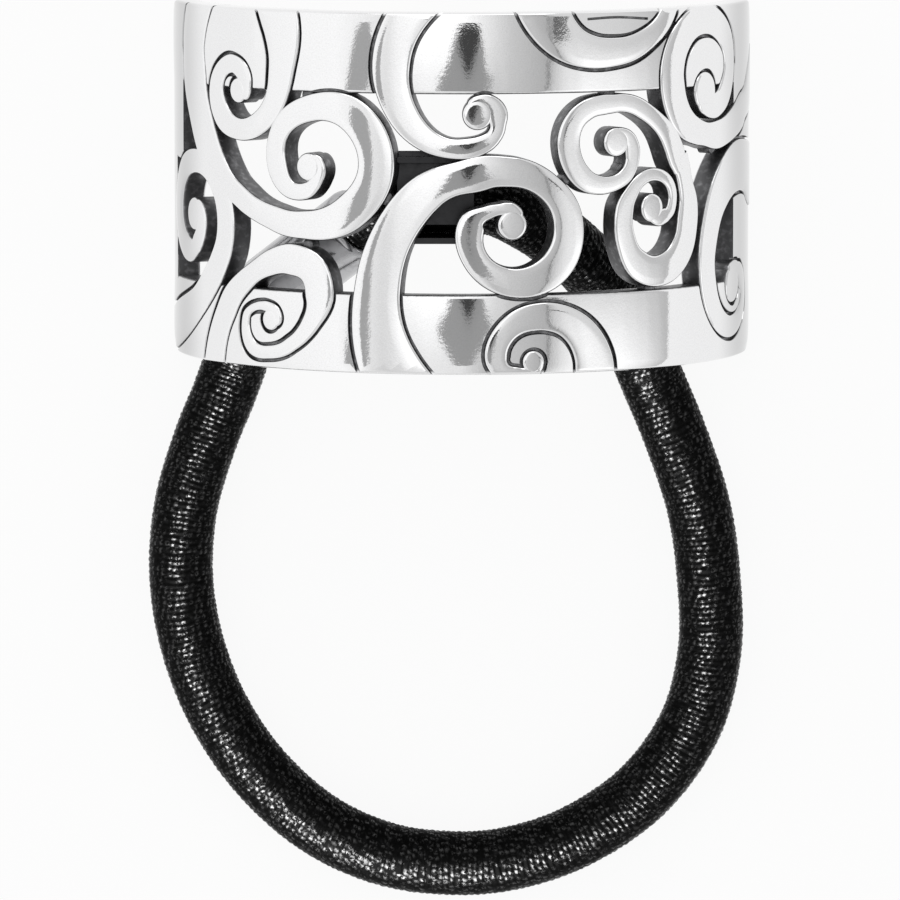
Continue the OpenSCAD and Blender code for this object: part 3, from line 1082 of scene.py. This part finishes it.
class Ribbon:
    """The run of one scroll band over the unrolled cuff."""

    def __init__(self, source: Scroll, section: BandSize, lift: float) -> None:
        """Work out the band's middle line, its sideways direction and its half width.

        Args:
            source: the scroll's table.
            section: the band's section, with the steps along it.
            lift: how far the band rises out of the rails' face.
        """
        self.source = source
        self.section = section
        self.lift = lift
        rows = np.array([(row.angle, row.outer, row.inner) for row in source.rows], dtype=float)
        if rows[0, 0] > rows[-1, 0]:
            knots = -rows[:, 0]
        else:
            knots = rows[:, 0]
        at = self.places(knots, rows[:, 1])
        radii = cubic_through(knots, rows[:, 1:], at)
        angle = np.radians(at if knots[0] == rows[0, 0] else -at)
        away = np.stack([np.cos(angle), np.sin(angle)], 1)
        self.turned = np.abs(at - at[0])
        self.middle = np.array(source.eye) + radii.mean(axis=1)[:, None] * away
        run = np.gradient(self.middle, axis=0)
        run /= np.linalg.norm(run, axis=1)[:, None]
        self.side = np.stack([-run[:, 1], run[:, 0]], 1)
        slant = np.abs((self.side * away).sum(axis=1))
        self.half = (radii[:, 0] - radii[:, 1]) / 2 * slant

    def places(self, knots: np.ndarray, outer: np.ndarray) -> np.ndarray:
        """Angles at which the band gets a section, close together where it is wide open.

        Args:
            knots: the table's angles, in increasing order.
            outer: the band's outer radius at each.

        Returns:
            The angles, in degrees.
        """
        spots = [knots[:1]]
        for k in range(len(knots) - 1):
            turn = knots[k + 1] - knots[k]
            length = math.radians(turn) * max(outer[k], outer[k + 1])
            parts = math.ceil(max(turn / self.section.turn_step, length / self.section.length_step))
            spots.append(np.linspace(knots[k], knots[k + 1], parts + 1)[1:])
        return np.concatenate(spots)


class Cuff:
    """The cast cuff: slab with rails, grooves, scroll bands, discs, beads and the saddle."""

    def __init__(self, size: CuffSize, section: BandSize, studs: StudSize, saddle: SaddleSize) -> None:
        """Take the sizes and work out the run of every band.

        Args:
            size: the cuff's driving dimensions.
            section: the bands' section.
            studs: the discs and beads of solder.
            saddle: the strap under the scrollwork.
        """
        self.size = size
        self.section = section
        self.studs = studs
        self.saddle_size = saddle
        self.wall = Wall(size)
        # each band lies a hair higher than the one before, so that crossing faces never coincide
        lifts = [section.lift_step * (k + 1) for k in range(len(SCROLLS))]
        self.ribbons = [Ribbon(source, section, lift) for source, lift in zip(SCROLLS, lifts)]

    def blank(self, grown: float) -> bpy.types.Object:
        """The outline that a part of the cuff is cut to, with rounded rims and corners.

        Args:
            grown: how much larger than the cuff it is all round.

        Returns:
            The solid outline.
        """
        size = self.size
        half_h = size.height / 2 + grown
        rim = size.rim_round
        above = 0.4
        below = 0.5
        slope = 0.05
        sections = 181
        crowding = 1.15
        t = np.linspace(-1, 1, sections)
        t = np.sign(t) * (1 - (1 - np.abs(t)) ** crowding)
        from_end = (1 - np.abs(t)) * size.end_u
        low = -half_h + self.corner(from_end, size.low_corner)
        high = half_h - self.corner(from_end, size.top_corner)
        arc = arc_points((-rim, rim), rim, 0, -90, size.rim_parts)
        rings = []
        for place, v0, v1 in zip(t, low, high):
            top = [(v1 + s, d) for s, d in arc]
            bottom = [(v0 - s, d) for s, d in arc[::-1]]
            outline = np.array(
                [(v1, size.wall + below), *top, (v1 - rim - slope, -above)]
                + [(v0 + rim + slope, -above), *bottom, (v0, size.wall + below)]
            )
            depth = outline[:, 1]
            u = place * (self.wall.end_angle(depth) * size.outer_r + grown)
            rings.append(self.wall.bent(u, outline[:, 0], depth))
        return Loft().rings(np.array(rings)).to_object("blank")

    @staticmethod
    def corner(from_end: np.ndarray, r: float) -> np.ndarray:
        """How far a rounded corner draws the rim in, at a distance from the end."""
        t = np.clip(from_end, 0, r)
        return r - np.sqrt(r**2 - (r - t) ** 2)

    def strip(self, u0: float, u1: float, section: np.ndarray, name: str) -> bpy.types.Object:
        """Sweep a section across the cuff.

        Args:
            u0: where it begins.
            u1: where it ends.
            section: rows of v and depth.
            name: name of the object.

        Returns:
            The swept solid.
        """
        u = np.linspace(u0, u1, math.ceil((u1 - u0) / self.size.bend_step) + 1)
        v, depth = section[:, 0], section[:, 1]
        return Loft().rings(self.wall.bent(u[:, None], v[None, :], depth[None, :])).to_object(name)

    def along(self, ribbon: Ribbon, outlines: dict[int, np.ndarray], name: str) -> bpy.types.Object:
        """Sweep outlines along a stretch of a band.

        Args:
            ribbon: the band's run.
            outlines: rows of place across the band and depth, for each section of the stretch.
            name: name of the object.

        Returns:
            The swept solid.
        """
        rings = []
        for i, outline in outlines.items():
            place = ribbon.middle[i] + outline[:, :1] * ribbon.side[i]
            rings.append(self.wall.bent(place[:, 0], place[:, 1], outline[:, 1]))
        return Loft().rings(np.array(rings)).to_object(name)

    def slab(self) -> bpy.types.Object:
        """The plain wall with its two crowned rails, before anything is cut from it.

        Returns:
            The slab, longer and higher than the cuff.
        """
        size, section = self.size, self.section
        past = 1.0
        step = 0.3
        half_h = size.height / 2
        rails = ((-half_h, -half_h + size.bottom_rail), (half_h - size.top_rail, half_h))
        profile = [(-half_h - past, size.wall), (-half_h - past, step)]
        for low, high in rails:
            across = np.linspace(-1, 1, section.rail_parts + 1)
            middle, half = (low + high) / 2, (high - low) / 2
            profile += [(middle + s * half, section.rail_drop + section.rail_crown * s**2) for s in across]
        profile += [(half_h + past, step), (half_h + past, size.wall)]
        return self.strip(-size.end_u - past, size.end_u + past, np.array(profile), "cuff_rails")

    def window(self, u0: float, u1: float, v0: float, v1: float) -> bpy.types.Object:
        """A tool that cuts a window through the slab and rounds its upper and lower edge.

        Args:
            u0: left side.
            u1: right side.
            v0: lower side.
            v1: upper side.

        Returns:
            The tool.
        """
        section = self.section
        r = section.edge_round
        clear = 0.5
        face = section.rail_drop + section.rail_crown
        arc = arc_points((r, face + r), r, 180, 270, section.edge_parts)
        high = [(v1 + s, d) for s, d in arc]
        low = [(v0 - s, d) for s, d in arc[::-1]]
        through = self.size.wall + clear
        profile = [(v1, through), *high, (v1 + r, -clear), (v0 - r, -clear), *low, (v0, through)]
        return self.strip(u0, u1, np.array(profile), "window")

    def windows(self) -> list[bpy.types.Object]:
        """The tools for the field of scrolls, beside the wider stretch of the left bar.

        Returns:
            The two tools, which overlap a little.
        """
        size = self.size
        overlap = 0.2
        low = size.bottom_rail - size.height / 2
        high = size.height / 2 - size.top_rail
        left = size.left_bar - size.end_u
        plate = size.plate_width - size.end_u
        right = size.end_u - size.right_bar
        return [
            self.window(plate, right, low, high),
            self.window(left, plate + overlap, low, size.plate_low),
        ]

    def band_outline(self, half: float, lift: float) -> np.ndarray:
        """The outline of a band's section.

        Args:
            half: the band's half width there.
            lift: how far the band rises out of the rails' face.

        Returns:
            Rows of place across the band and depth.
        """
        section = self.section
        edge = min(section.edge_round, half * section.edge_share)
        flat = half - edge
        arc = np.radians(np.linspace(0, 90, section.edge_parts + 1))
        left = [(-flat - edge * math.cos(a), edge * (1 - math.sin(a))) for a in arc]
        top = [(flat * s, 0.0) for s in (-0.5, 0.0, 0.5)]
        right = [(-s, d) for s, d in reversed(left)]
        outline = np.array(left + top + right)
        outline[:, 1] += section.crown * (outline[:, 0] / half) ** 2 - lift
        foot = section.foot_chamfer
        deep = self.size.wall + lift
        under = [(half, deep - foot), (half - foot, deep), (foot - half, deep), (-half, deep - foot)]
        return np.concatenate([outline, np.array(under)])

    def band(self, ribbon: Ribbon) -> bpy.types.Object:
        """One scroll band with rounded edges and a slightly crowned face.

        Args:
            ribbon: the band's run.

        Returns:
            The band, with its ends not yet cut to the cuff.
        """
        outlines = {i: self.band_outline(half, ribbon.lift) for i, half in enumerate(ribbon.half)}
        return self.along(ribbon, outlines, f"band_{ribbon.source.name}")

    def groove_outline(self, half: float) -> np.ndarray:
        """The outline of the bed that is cut for a band.

        Args:
            half: the band's half width there.

        Returns:
            Rows of place across the band and depth.
        """
        section = self.section
        wide = half + section.groove
        lip = wide + section.groove_chamfer
        bed = [(-wide, section.groove_depth), (-wide, section.groove_neck)]
        left = bed + [(-lip, 0.0), (-lip, -section.clear)]
        return np.array(left + [(-s, d) for s, d in reversed(left)])

    def groove_tools(self, ribbon: Ribbon) -> list[bpy.types.Object]:
        """Tools that cut a band's bed into the slab, in stretches that can't meet themselves.

        Args:
            ribbon: the band's run.

        Returns:
            The tools, which overlap a little.
        """
        turn = 130.0
        overlap = 5.0
        tools = []
        for k in range(math.ceil(ribbon.turned[-1] / turn)):
            inside = (ribbon.turned >= k * turn - overlap) & (ribbon.turned <= (k + 1) * turn + overlap)
            outlines = {i: self.groove_outline(ribbon.half[i]) for i in np.flatnonzero(inside)}
            tools.append(self.along(ribbon, outlines, "groove"))
        return tools

    def round_part(self, disc: Disc, profile: Sequence[tuple[float, float]], name: str) -> bpy.types.Object:
        """Turn a profile about a place on the cuff and bend it with the wall.

        Args:
            disc: the place.
            profile: rows of radius and depth.
            name: name of the object.

        Returns:
            The turned solid.
        """
        turns = np.radians(np.linspace(0, 360, self.studs.sides, endpoint=False))
        rings = [
            self.wall.bent(disc.u + r * np.cos(turns), disc.v + r * np.sin(turns), np.full(len(turns), depth))
            for r, depth in profile
        ]
        return Loft().rings(np.array(rings)).to_object(name)

    def eye(self, disc: Disc) -> bpy.types.Object:
        """A disc in the eye of a scroll, with a domed face.

        Args:
            disc: its place and radius.

        Returns:
            The disc.
        """
        studs, wall = self.studs, self.size.wall
        edge, crown = studs.eye_round, studs.eye_crown
        arc = np.radians(np.linspace(0, 90, studs.eye_parts + 1))
        flat = disc.r - edge
        foot = [(disc.r - studs.foot_inset, wall + studs.foot_depth), (disc.r, wall - studs.foot_chamfer)]
        rim = [(flat + edge * math.cos(a), edge * (1 - math.sin(a)) + crown) for a in arc]
        face = [(flat * s, crown * s**2) for s in (0.75, 0.5, 0.25, 0.02)]
        lifted = [(r, depth - studs.eye_lift) for r, depth in [*foot, *rim, *face]]
        return self.round_part(disc, lifted, "eye")

    def eye_groove(self, disc: Disc) -> bpy.types.Object:
        """A tool that cuts a disc's bed into the slab.

        Args:
            disc: its place and radius.

        Returns:
            The tool.
        """
        section, pole = self.section, self.studs.pole_r
        wide = disc.r + section.groove
        lip = wide + section.groove_chamfer
        bed = [(pole, section.groove_depth), (wide, section.groove_depth), (wide, section.groove_neck)]
        mouth = [(lip, 0.0), (lip, -section.clear), (pole, -section.clear)]
        return self.round_part(disc, bed + mouth, "eye_groove")

    def bead(self, disc: Disc) -> bpy.types.Object:
        """A bead of solder deep in the wall, where two bands touch.

        Args:
            disc: its place and radius.

        Returns:
            The bead.
        """
        studs = self.studs
        foot = self.size.wall - studs.bead_foot
        side = [(studs.pole_r, foot), (disc.r, foot), (disc.r, studs.bead_side)]
        dome = [(disc.r * studs.bead_share, studs.bead_shoulder), (studs.pole_r, studs.bead_top)]
        return self.round_part(disc, side + dome, "bead")

    def engraved_line(self, points: Sequence[tuple[float, float]], width: float) -> bpy.types.Object:
        """A tool that cuts a thin line through a few given places.

        Args:
            points: the places, across and up.
            width: width of the line.

        Returns:
            The tool.
        """
        clear, deep, sections = self.section.clear, 0.3, 24
        knots = np.arange(len(points), dtype=float)
        run = cubic_through(knots, np.array(points, dtype=float), np.linspace(0, knots[-1], sections))
        side = np.gradient(run, axis=0)
        side = np.stack([-side[:, 1], side[:, 0]], 1) / np.linalg.norm(side, axis=1)[:, None]
        half = width / 2
        outline = np.array([(-half, deep), (-half, -clear), (half, -clear), (half, deep)])
        place = run[:, None, :] + outline[None, :, :1] * side[:, None, :]
        rings = self.wall.bent(place[..., 0], place[..., 1], outline[None, :, 1])
        return Loft().rings(rings).to_object("line")

    def saddle(self) -> bpy.types.Object:
        """The strap bent in a U under the scrollwork, open upwards to the wall.

        Returns:
            The strap.
        """
        s = self.saddle_size
        middle_r = s.inner_r + s.strap / 2
        top = self.size.outer_r - self.size.wall + self.size.axis_z - s.z + s.root
        arc = arc_points((0, 0), middle_r, 180, 360, s.bend_parts)
        left = [(-middle_r, top), (-middle_r, top / 2)]
        right = [(middle_r, top / 2), (middle_r, top)]
        path = np.concatenate([left, arc, right])
        run = np.gradient(path, axis=0)
        out = np.stack([run[:, 1], -run[:, 0]], 1) / np.linalg.norm(run, axis=1)[:, None]
        edge = s.edge_round
        corners = []
        for sx, sy, start in ((1, 1, 0), (-1, 1, 90), (-1, -1, 180), (1, -1, 270)):
            centre = (sx * (s.length / 2 - edge), sy * (s.strap / 2 - edge))
            corners.append(arc_points(centre, edge, start, start + 90, s.edge_parts))
        section = np.concatenate(corners)
        rings = np.empty((len(path), len(section), 3))
        rings[:, :, 0] = s.x + section[None, :, 0]
        rings[:, :, 1] = s.y + path[:, None, 0] + out[:, None, 0] * section[None, :, 1]
        rings[:, :, 2] = s.z + path[:, None, 1] + out[:, None, 1] * section[None, :, 1]
        return Loft().rings(rings).to_object("saddle")

    def saddle_plate(self) -> bpy.types.Object:
        """The thin plate that closes the strap over the elastic.

        Returns:
            The plate, with round long edges.
        """
        s = self.saddle_size
        half = s.plate / 2
        middle = s.plate_z + half
        end_shade = []
        for place, start in ((s.plate_high - half, 90), (s.plate_low + half, 270)):
            end_shade += list(arc_points((place, middle), half, start, start - 180, 2 * s.edge_parts))
        rings = [[(s.x + side * s.length / 2, y, z) for y, z in end_shade] for side in (-1.0, -0.5, 0.0, 0.5, 1.0)]
        return Loft().rings(np.array(rings)).to_object("saddle_plate")

    def scrollwork(self) -> list[bpy.types.Object]:
        """The slab with its beds cut, the bands, the discs and the beads.

        Returns:
            The solids, trimmed to the cuff's outline.
        """
        slab = self.slab()
        tools = self.windows()
        for ribbon in self.ribbons:
            tools += self.groove_tools(ribbon)
        tools += [self.eye_groove(disc) for disc in EYES]
        tools.append(self.engraved_line(RIM_LINE, RIM_LINE_WIDTH))
        apply_boolean(slab, tools, Boolean.CUT)
        parts = [slab] + [self.band(ribbon) for ribbon in self.ribbons]
        lifts = [0.0] + [ribbon.lift for ribbon in self.ribbons]
        for part, lift in zip(parts, lifts):
            apply_boolean(part, [self.blank(lift)], Boolean.KEEP)
            soften(part.data, self.section.smooth_angle)
        return parts + [self.eye(disc) for disc in EYES] + [self.bead(disc) for disc in BEADS]

    def build(self, finish: SilverFinish, strap_finish: SleeveFinish) -> bpy.types.Object:
        """Build the whole cuff as one piece that stands for its CAD node.

        Args:
            finish: finish of the scrollwork.
            strap_finish: finish of the saddle.

        Returns:
            The cuff.
        """
        parts = [dress(part, finish) for part in self.scrollwork()]
        parts += [dress(part, strap_finish) for part in (self.saddle(), self.saddle_plate())]
        cuff = join("cuff_scrollwork", parts)
        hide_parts("cuff")
        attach(cuff, "root")
        return cuff


class Winding(Nodes):
    """Geometry nodes that wind stitched thread round a curve, as one closed surface."""

    def __init__(self, size: CordSize, material: bpy.types.Material) -> None:
        """Make the tree, with a named input for each of the winding's sizes and for the seed.

        Args:
            size: the cord's sizes.
            material: the thread's material.
        """
        super().__init__(bpy.data.node_groups.new("wound_thread", "GeometryNodeTree"))
        self.size = size
        self.inputs: dict[str, float | int] = {
            "Pitch": size.pitch * MM,
            "Row Length": size.pitch / size.pitch_parts * MM,
            "Radius": size.diameter / 2 * MM,
            "Thread Height": size.thread_height * MM,
            "Stitch Height": size.stitch_height * MM,
            "Stitches": float(size.stitches),
            "Sides": size.sides,
            "Seed": size.seed,
        }
        face = self.tree.interface
        face.new_socket("Curve", in_out="INPUT", socket_type="NodeSocketGeometry")
        face.new_socket("Geometry", in_out="OUTPUT", socket_type="NodeSocketGeometry")
        for name, value in self.inputs.items():
            kind = "NodeSocketInt" if isinstance(value, int) else "NodeSocketFloat"
            face.new_socket(name, in_out="INPUT", socket_type=kind)
        self.source = self.node("NodeGroupInput").outputs
        tube = self.tube()
        thread, stitch, height = self.relief()
        patches = self.patches(size.shine_cell).rise(*size.shine_patch)
        shine = thread.rise(*size.shine_thread) * stitch.rise(*size.shine_stitch) * patches
        self.wind(self.kept(tube, "shine", shine), height, material)

    def stage(self, kind: str, settings: dict[str, object], **values: object) -> bpy.types.Node:
        """Make a node and fill its sockets.

        Args:
            kind: the node's type.
            settings: its properties, which are set first.
            **values: what goes into each socket, by its name with _ for a space.

        Returns:
            The node.
        """
        made = self.node(kind, **settings)
        for key, value in values.items():
            self.feed(made.inputs[key.replace("_", " ")], value)
        return made

    def given(self, name: str) -> Value:
        """The tree's input of that name."""
        return Value(self, self.source[name])

    def kept(self, geometry: bpy.types.NodeSocket, name: str, value: object) -> bpy.types.NodeSocket:
        """Keep a number on every point.

        Args:
            geometry: what carries it.
            name: its name.
            value: the number.

        Returns:
            The geometry with the number on it.
        """
        kind = "GeometryNodeStoreNamedAttribute"
        number = {"data_type": "FLOAT", "domain": "POINT"}
        made = self.stage(kind, number, Geometry=geometry, Name=name, Value=value)
        return made.outputs["Geometry"]

    def recalled(self, name: str) -> Value:
        """A number that was kept on the points."""
        made = self.stage("GeometryNodeInputNamedAttribute", {"data_type": "FLOAT"}, Name=name)
        return Value(self, made.outputs["Attribute"])

    def patches(self, cell: float) -> Value:
        """Soft noise from 0 to 1 with cells of the given size in millimetres."""
        made = self.stage("ShaderNodeTexNoise", {}, Scale=1 / (cell * MM), Detail=0.0)
        return Value(self, made.outputs["Fac"])

    def tube(self) -> bpy.types.NodeSocket:
        """The plain tube, which knows how far along and around each of its points is.

        Returns:
            The tube's geometry.
        """
        source = self.source
        steps = {"Curve": source["Curve"], "Length": source["Row Length"]}
        rows = self.stage("GeometryNodeResampleCurve", {"mode": "LENGTH"}, **steps)
        place = self.node("GeometryNodeSplineParameter").outputs
        run = self.kept(rows.outputs["Curve"], "along", place["Length"])
        ring = {"Resolution": source["Sides"], "Radius": source["Radius"]}
        circle = self.stage("GeometryNodeCurvePrimitiveCircle", {}, **ring)
        girth = self.kept(circle.outputs["Curve"], "around", place["Factor"])
        tube = self.stage("GeometryNodeCurveToMesh", {}, Curve=run, Profile_Curve=girth, Fill_Caps=True)
        return tube.outputs["Mesh"]

    def relief(self) -> tuple[Value, Value, Value]:
        """The relief of thread and stitches.

        Returns:
            How far up the thread and the stitch each point is, from 0 to 1, and its height.
        """
        size = self.size
        turn = self.recalled("along") / self.given("Pitch")
        for cell, share in size.wander:
            turn = turn + self.patches(cell) * share
        thread = (turn * math.pi).maths("SINE").size()
        draw = {"ID": turn.maths("FLOOR"), "Seed": self.source["Seed"]}
        shift = self.stage("FunctionNodeRandomValue", {"data_type": "FLOAT"}, **draw)
        step = self.recalled("around") * self.given("Stitches") + Value(self, shift.outputs[1])
        stitch = (step * (2 * math.pi)).maths("COSINE").between(0.5, 1.0)
        stitch_height = self.given("Stitch Height")
        height = (thread - 1) * self.given("Thread Height") + (stitch * thread - 1) * stitch_height
        lumps = (self.patches(size.lump_cell) - size.lump_sink) * 2
        return thread, stitch, height + lumps * stitch_height

    def wind(self, tube: bpy.types.NodeSocket, height: Value, material: bpy.types.Material) -> None:
        """Raise the tube's surface, shade it smooth and give it its material.

        Args:
            tube: the tube's geometry.
            height: how far each point moves outwards.
            material: the material.
        """
        outward = self.stage("ShaderNodeVectorMath", {"operation": "SCALE"}, Scale=height)
        self.feed(outward.inputs[0], self.node("GeometryNodeInputNormal").outputs["Normal"])
        wound = self.stage("GeometryNodeSetPosition", {}, Geometry=tube, Offset=outward.outputs[0])
        smooth = self.stage("GeometryNodeSetShadeSmooth", {}, Geometry=wound.outputs["Geometry"])
        real = self.stage("GeometryNodeRealizeInstances", {}, Geometry=smooth.outputs["Geometry"])
        plain = real.outputs["Geometry"]
        coloured = self.stage("GeometryNodeSetMaterial", {}, Geometry=plain, Material=material)
        self.feed(self.node("NodeGroupOutput").inputs["Geometry"], coloured.outputs["Geometry"])


class Cord:
    """The covered elastic with its wound thread, and the sleeve over its ends."""

    def __init__(self, size: CordSize) -> None:
        """Work out the sleeve's direction and the elastic's route.

        Args:
            size: the cord's sizes.
        """
        self.size = size
        run = SLEEVE_END - SLEEVE_TOP
        self.sleeve_run = run / np.linalg.norm(run)
        self.sleeve_end = SLEEVE_TOP + size.sleeve_length * self.sleeve_run
        start = SLEEVE_TOP - size.sleeve_gap * self.sleeve_run
        end = self.sleeve_end + size.sleeve_gap * self.sleeve_run
        knots = np.concatenate([[start], np.array(ROUTE), [end]])
        places = np.linspace(0, len(knots) - 1, (len(knots) - 1) * size.route_parts + 1)
        self.route = cubic_through(np.arange(len(knots), dtype=float), knots, places)

    @property
    def length(self) -> float:
        """Length of the elastic along its centre."""
        return float(np.linalg.norm(np.diff(self.route, axis=0), axis=1).sum())

    def threads(self, material: bpy.types.Material) -> bpy.types.Object:
        """The wound thread as a plain mesh.

        Args:
            material: the thread's material.

        Returns:
            The elastic.
        """
        curve = bpy.data.curves.new("elastic_run", "CURVE")
        curve.dimensions = "3D"
        spline = curve.splines.new("POLY")
        spline.points.add(len(self.route) - 1)
        spline.points.foreach_set("co", np.c_[self.route * MM, np.ones(len(self.route))].ravel())
        runner = bpy.data.objects.new("elastic_run", curve)
        bpy.context.scene.collection.objects.link(runner)
        winding = Winding(self.size, material)
        modifier = runner.modifiers.new("threads", "NODES")
        modifier.node_group = winding.tree
        for item in winding.tree.interface.items_tree:
            if item.in_out == "INPUT" and item.name in winding.inputs:
                modifier[item.identifier] = winding.inputs[item.name]
        mesh = evaluated_mesh(runner)
        runner.modifiers.clear()
        threads = bpy.data.objects.new("elastic_cord", mesh)
        bpy.context.scene.collection.objects.link(threads)
        bpy.data.objects.remove(runner)
        bpy.data.curves.remove(curve)
        return threads

    def sleeve(self, finish: SleeveFinish) -> bpy.types.Object:
        """The smooth sleeve, with rolled ends round the cord.

        Args:
            finish: its finish.

        Returns:
            The sleeve.
        """
        size = self.size
        r, edge, length, lip = size.sleeve_d / 2, size.sleeve_edge, size.sleeve_length, size.sleeve_lip
        bore = r - edge - size.sleeve_rim
        quarter = np.radians((0, 22, 45, 67, 90))
        start = [(r - edge + edge * math.sin(a), edge * (1 - math.cos(a))) for a in quarter]
        waist = [(r, length * s) for s in (0.25, 0.5, 0.75)]
        end = [(radius, length - along) for radius, along in reversed(start)]
        profile = [(size.pole_r, lip), (bore, lip), *start, *waist, *end]
        profile += [(bore, length - lip), (size.pole_r, length - lip)]
        side = np.cross(self.sleeve_run, (0, 0, 1))
        side /= np.linalg.norm(side)
        up = np.cross(side, self.sleeve_run)
        turns = np.radians(np.linspace(0, 360, size.sleeve_sides, endpoint=False))[:, None]
        around = np.cos(turns) * side + np.sin(turns) * up
        rings = [SLEEVE_TOP + along * self.sleeve_run + radius * around for radius, along in profile]
        sleeve = Loft().rings(np.array(rings)).to_object("ferrule_sleeve", size.sleeve_smooth)
        dress(sleeve, finish)
        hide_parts("ferrule")
        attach(sleeve, "root")
        return sleeve

    def build(
        self, finish: ElasticFinish, sleeve_finish: SleeveFinish
    ) -> tuple[bpy.types.Object, bpy.types.Object]:
        """Args:
            finish: finish of the covered elastic.
            sleeve_finish: finish of the sleeve.

        Returns:
            The elastic and the sleeve.
        """
        elastic = self.threads(finish.material)
        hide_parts("elastic")
        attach(elastic, "root")
        sleeve = self.sleeve(sleeve_finish)
        tuple(self.route[0] * MM)
        [tuple(point) for point in (self.route * MM).tolist()]
        return elastic, sleeve


class Studio:
    """Camera, pale floor, round ceiling, cards and soft lights."""

    def __init__(self, camera: Camera, elastic: bpy.types.Object) -> None:
        """Plan the studio.

        Args:
            camera: where the photograph was taken from.
            elastic: the one piece that the strong front light reaches.
        """
        self.camera = camera
        self.elastic = elastic

    def add_camera(self) -> None:
        """Put the camera where the photograph was taken from."""
        data = bpy.data.cameras.new("camera")
        data.lens = self.camera.lens
        data.sensor_width = self.camera.sensor
        data.clip_start = self.camera.near * MM
        data.clip_end = self.camera.far * MM
        camera = bpy.data.objects.new("camera", data)
        camera.location = Vector((self.camera.x, self.camera.y, self.camera.z)) * MM
        camera.rotation_euler = (math.radians(self.camera.tilt), 0, 0)
        bpy.context.scene.collection.objects.link(camera)
        bpy.context.scene.camera = camera

    def add_floor(self) -> None:
        """A large flat floor at the height the object lies on."""
        half = 3000.0
        thick = 20.0
        corners = np.array([(-half, -half), (half, -half), (half, half), (-half, half)])
        rings = np.array([[(x, y, z) for x, y in corners] for z in (-thick, 0.0)])
        floor = Loft().rings(rings).to_object("floor")
        dress(floor, PaperFinish("pale_paper", (0.06, 0.06, 0.06), glow=0.92))

    def add_panel(self, panel: Panel) -> None:
        """Add a soft rectangular light that faces the object.

        Args:
            panel: the light.
        """
        across, along = math.radians(panel.across), math.radians(panel.along)
        level = math.cos(along)
        direction = Vector((math.sin(across) * level, math.sin(along), math.cos(across) * level))
        width = 2 * panel.distance * math.tan(math.radians(panel.width) / 2) * MM
        height = 2 * panel.distance * math.tan(math.radians(panel.height) / 2) * MM
        data = bpy.data.lights.new(panel.name, "AREA")
        data.shape = "RECTANGLE"
        data.size, data.size_y = width, height
        data.energy = panel.brightness * math.pi * width * height
        light = bpy.data.objects.new(panel.name, data)
        light.location = direction * panel.distance * MM
        side = Vector((math.cos(across), 0, -math.sin(across)))
        up = direction.cross(side)
        light.rotation_euler = Matrix((side, up, direction)).transposed().to_euler()
        bpy.context.scene.collection.objects.link(light)
        if panel.elastic_only:
            lit = bpy.data.collections.new(f"lit_by_{panel.name}")
            lit.objects.link(self.elastic)
            light.light_linking.receiver_collection = lit

    def add_surroundings(self, brightness: float) -> None:
        """Fill the room with even light.

        Args:
            brightness: how bright it is.
        """
        world = bpy.data.worlds.new("room")
        world.use_nodes = True
        background = world.node_tree.nodes["Background"]
        background.inputs["Color"].default_value = (1, 1, 1, 1)
        background.inputs["Strength"].default_value = brightness
        bpy.context.scene.world = world

    def add_sky(self, finish: SkyFinish) -> None:
        """A round ceiling over the object, from side to side, as bright as its rows say.

        Args:
            finish: its finish.
        """
        thick = 10
        along = np.array([SKY_HALF_LENGTH, SKY_UPPER_FROM, SKY_LOWER_FROM, -SKY_HALF_LENGTH])
        rings, glow = [], []
        for row, after in zip(SKY, SKY[1:]):
            parts = max(1, math.ceil((after.angle - row.angle) / SKY_STEP))
            for k in range(parts + (after is SKY[-1])):
                share = k / parts
                angle = math.radians(row.angle + (after.angle - row.angle) * share)
                upper = row.upper + (after.upper - row.upper) * share
                lower = row.lower + (after.lower - row.lower) * share
                across = np.array([math.sin(angle), 0.0, math.cos(angle)])
                ring = [across * SKY_RADIUS + (0, y, 0) for y in along]
                rings.append(ring + [across * (SKY_RADIUS + thick) + (0, y, 0) for y in along[::-1]])
                glow.extend((upper, upper, lower, lower) * 2)
        sky = Loft().rings(np.array(rings)).to_object("sky")
        sky.data.attributes.new(finish.attribute, "FLOAT", "POINT").data.foreach_set("value", glow)
        dress(sky, finish)

    def add_card(self, card: Card) -> None:
        """Hang a flat card above the object, for the polished metal to mirror.

        Args:
            card: the card.
        """
        faces = (card.height, card.height + card.thickness)
        outline = np.array(card.outline)
        rings = np.array([np.c_[outline, np.full(len(outline), z)] for z in faces])
        hung = Loft().rings(rings).to_object(card.name)
        dress(hung, PaperFinish(card.name, (card.shade,) * 3))

    def build(self) -> None:
        """Set up the camera, the floor and the lights."""
        self.add_camera()
        self.add_floor()
        self.add_surroundings(ROOM_BRIGHTNESS)
        self.add_sky(SkyFinish())
        for panel in PANELS:
            self.add_panel(panel)
        for card in CARDS:
            self.add_card(card)
        bpy.context.scene.view_settings.view_transform = "Standard"


def main() -> None:
    """Build the cord, the cuff and the studio in that order, and report each piece."""
    logging.basicConfig(level=logging.INFO, format="%(name)s: %(message)s")
    cuff_size = CuffSize()
    sleeve_finish = SleeveFinish("sleeve_metal", (0.45, 0.45, 0.46), roughness=0.1)
    strap_finish = SleeveFinish("saddle_metal", (0.045, 0.045, 0.047), roughness=0.3)
    cord = Cord(CordSize())
    elastic, sleeve = cord.build(ElasticFinish(), sleeve_finish)
    cuff = Cuff(cuff_size, BandSize(), StudSize(), SaddleSize())
    scrollwork = cuff.build(SilverFinish(cuff_size), strap_finish)
    for piece in (elastic, sleeve, scrollwork):
        log.info("%s: %d faces", piece.name, len(piece.data.polygons))
    log.info("the elastic's run is %.1f mm long", cord.length)
    Studio(Camera(), elastic).build()


if __name__ == "__main__":
    main()
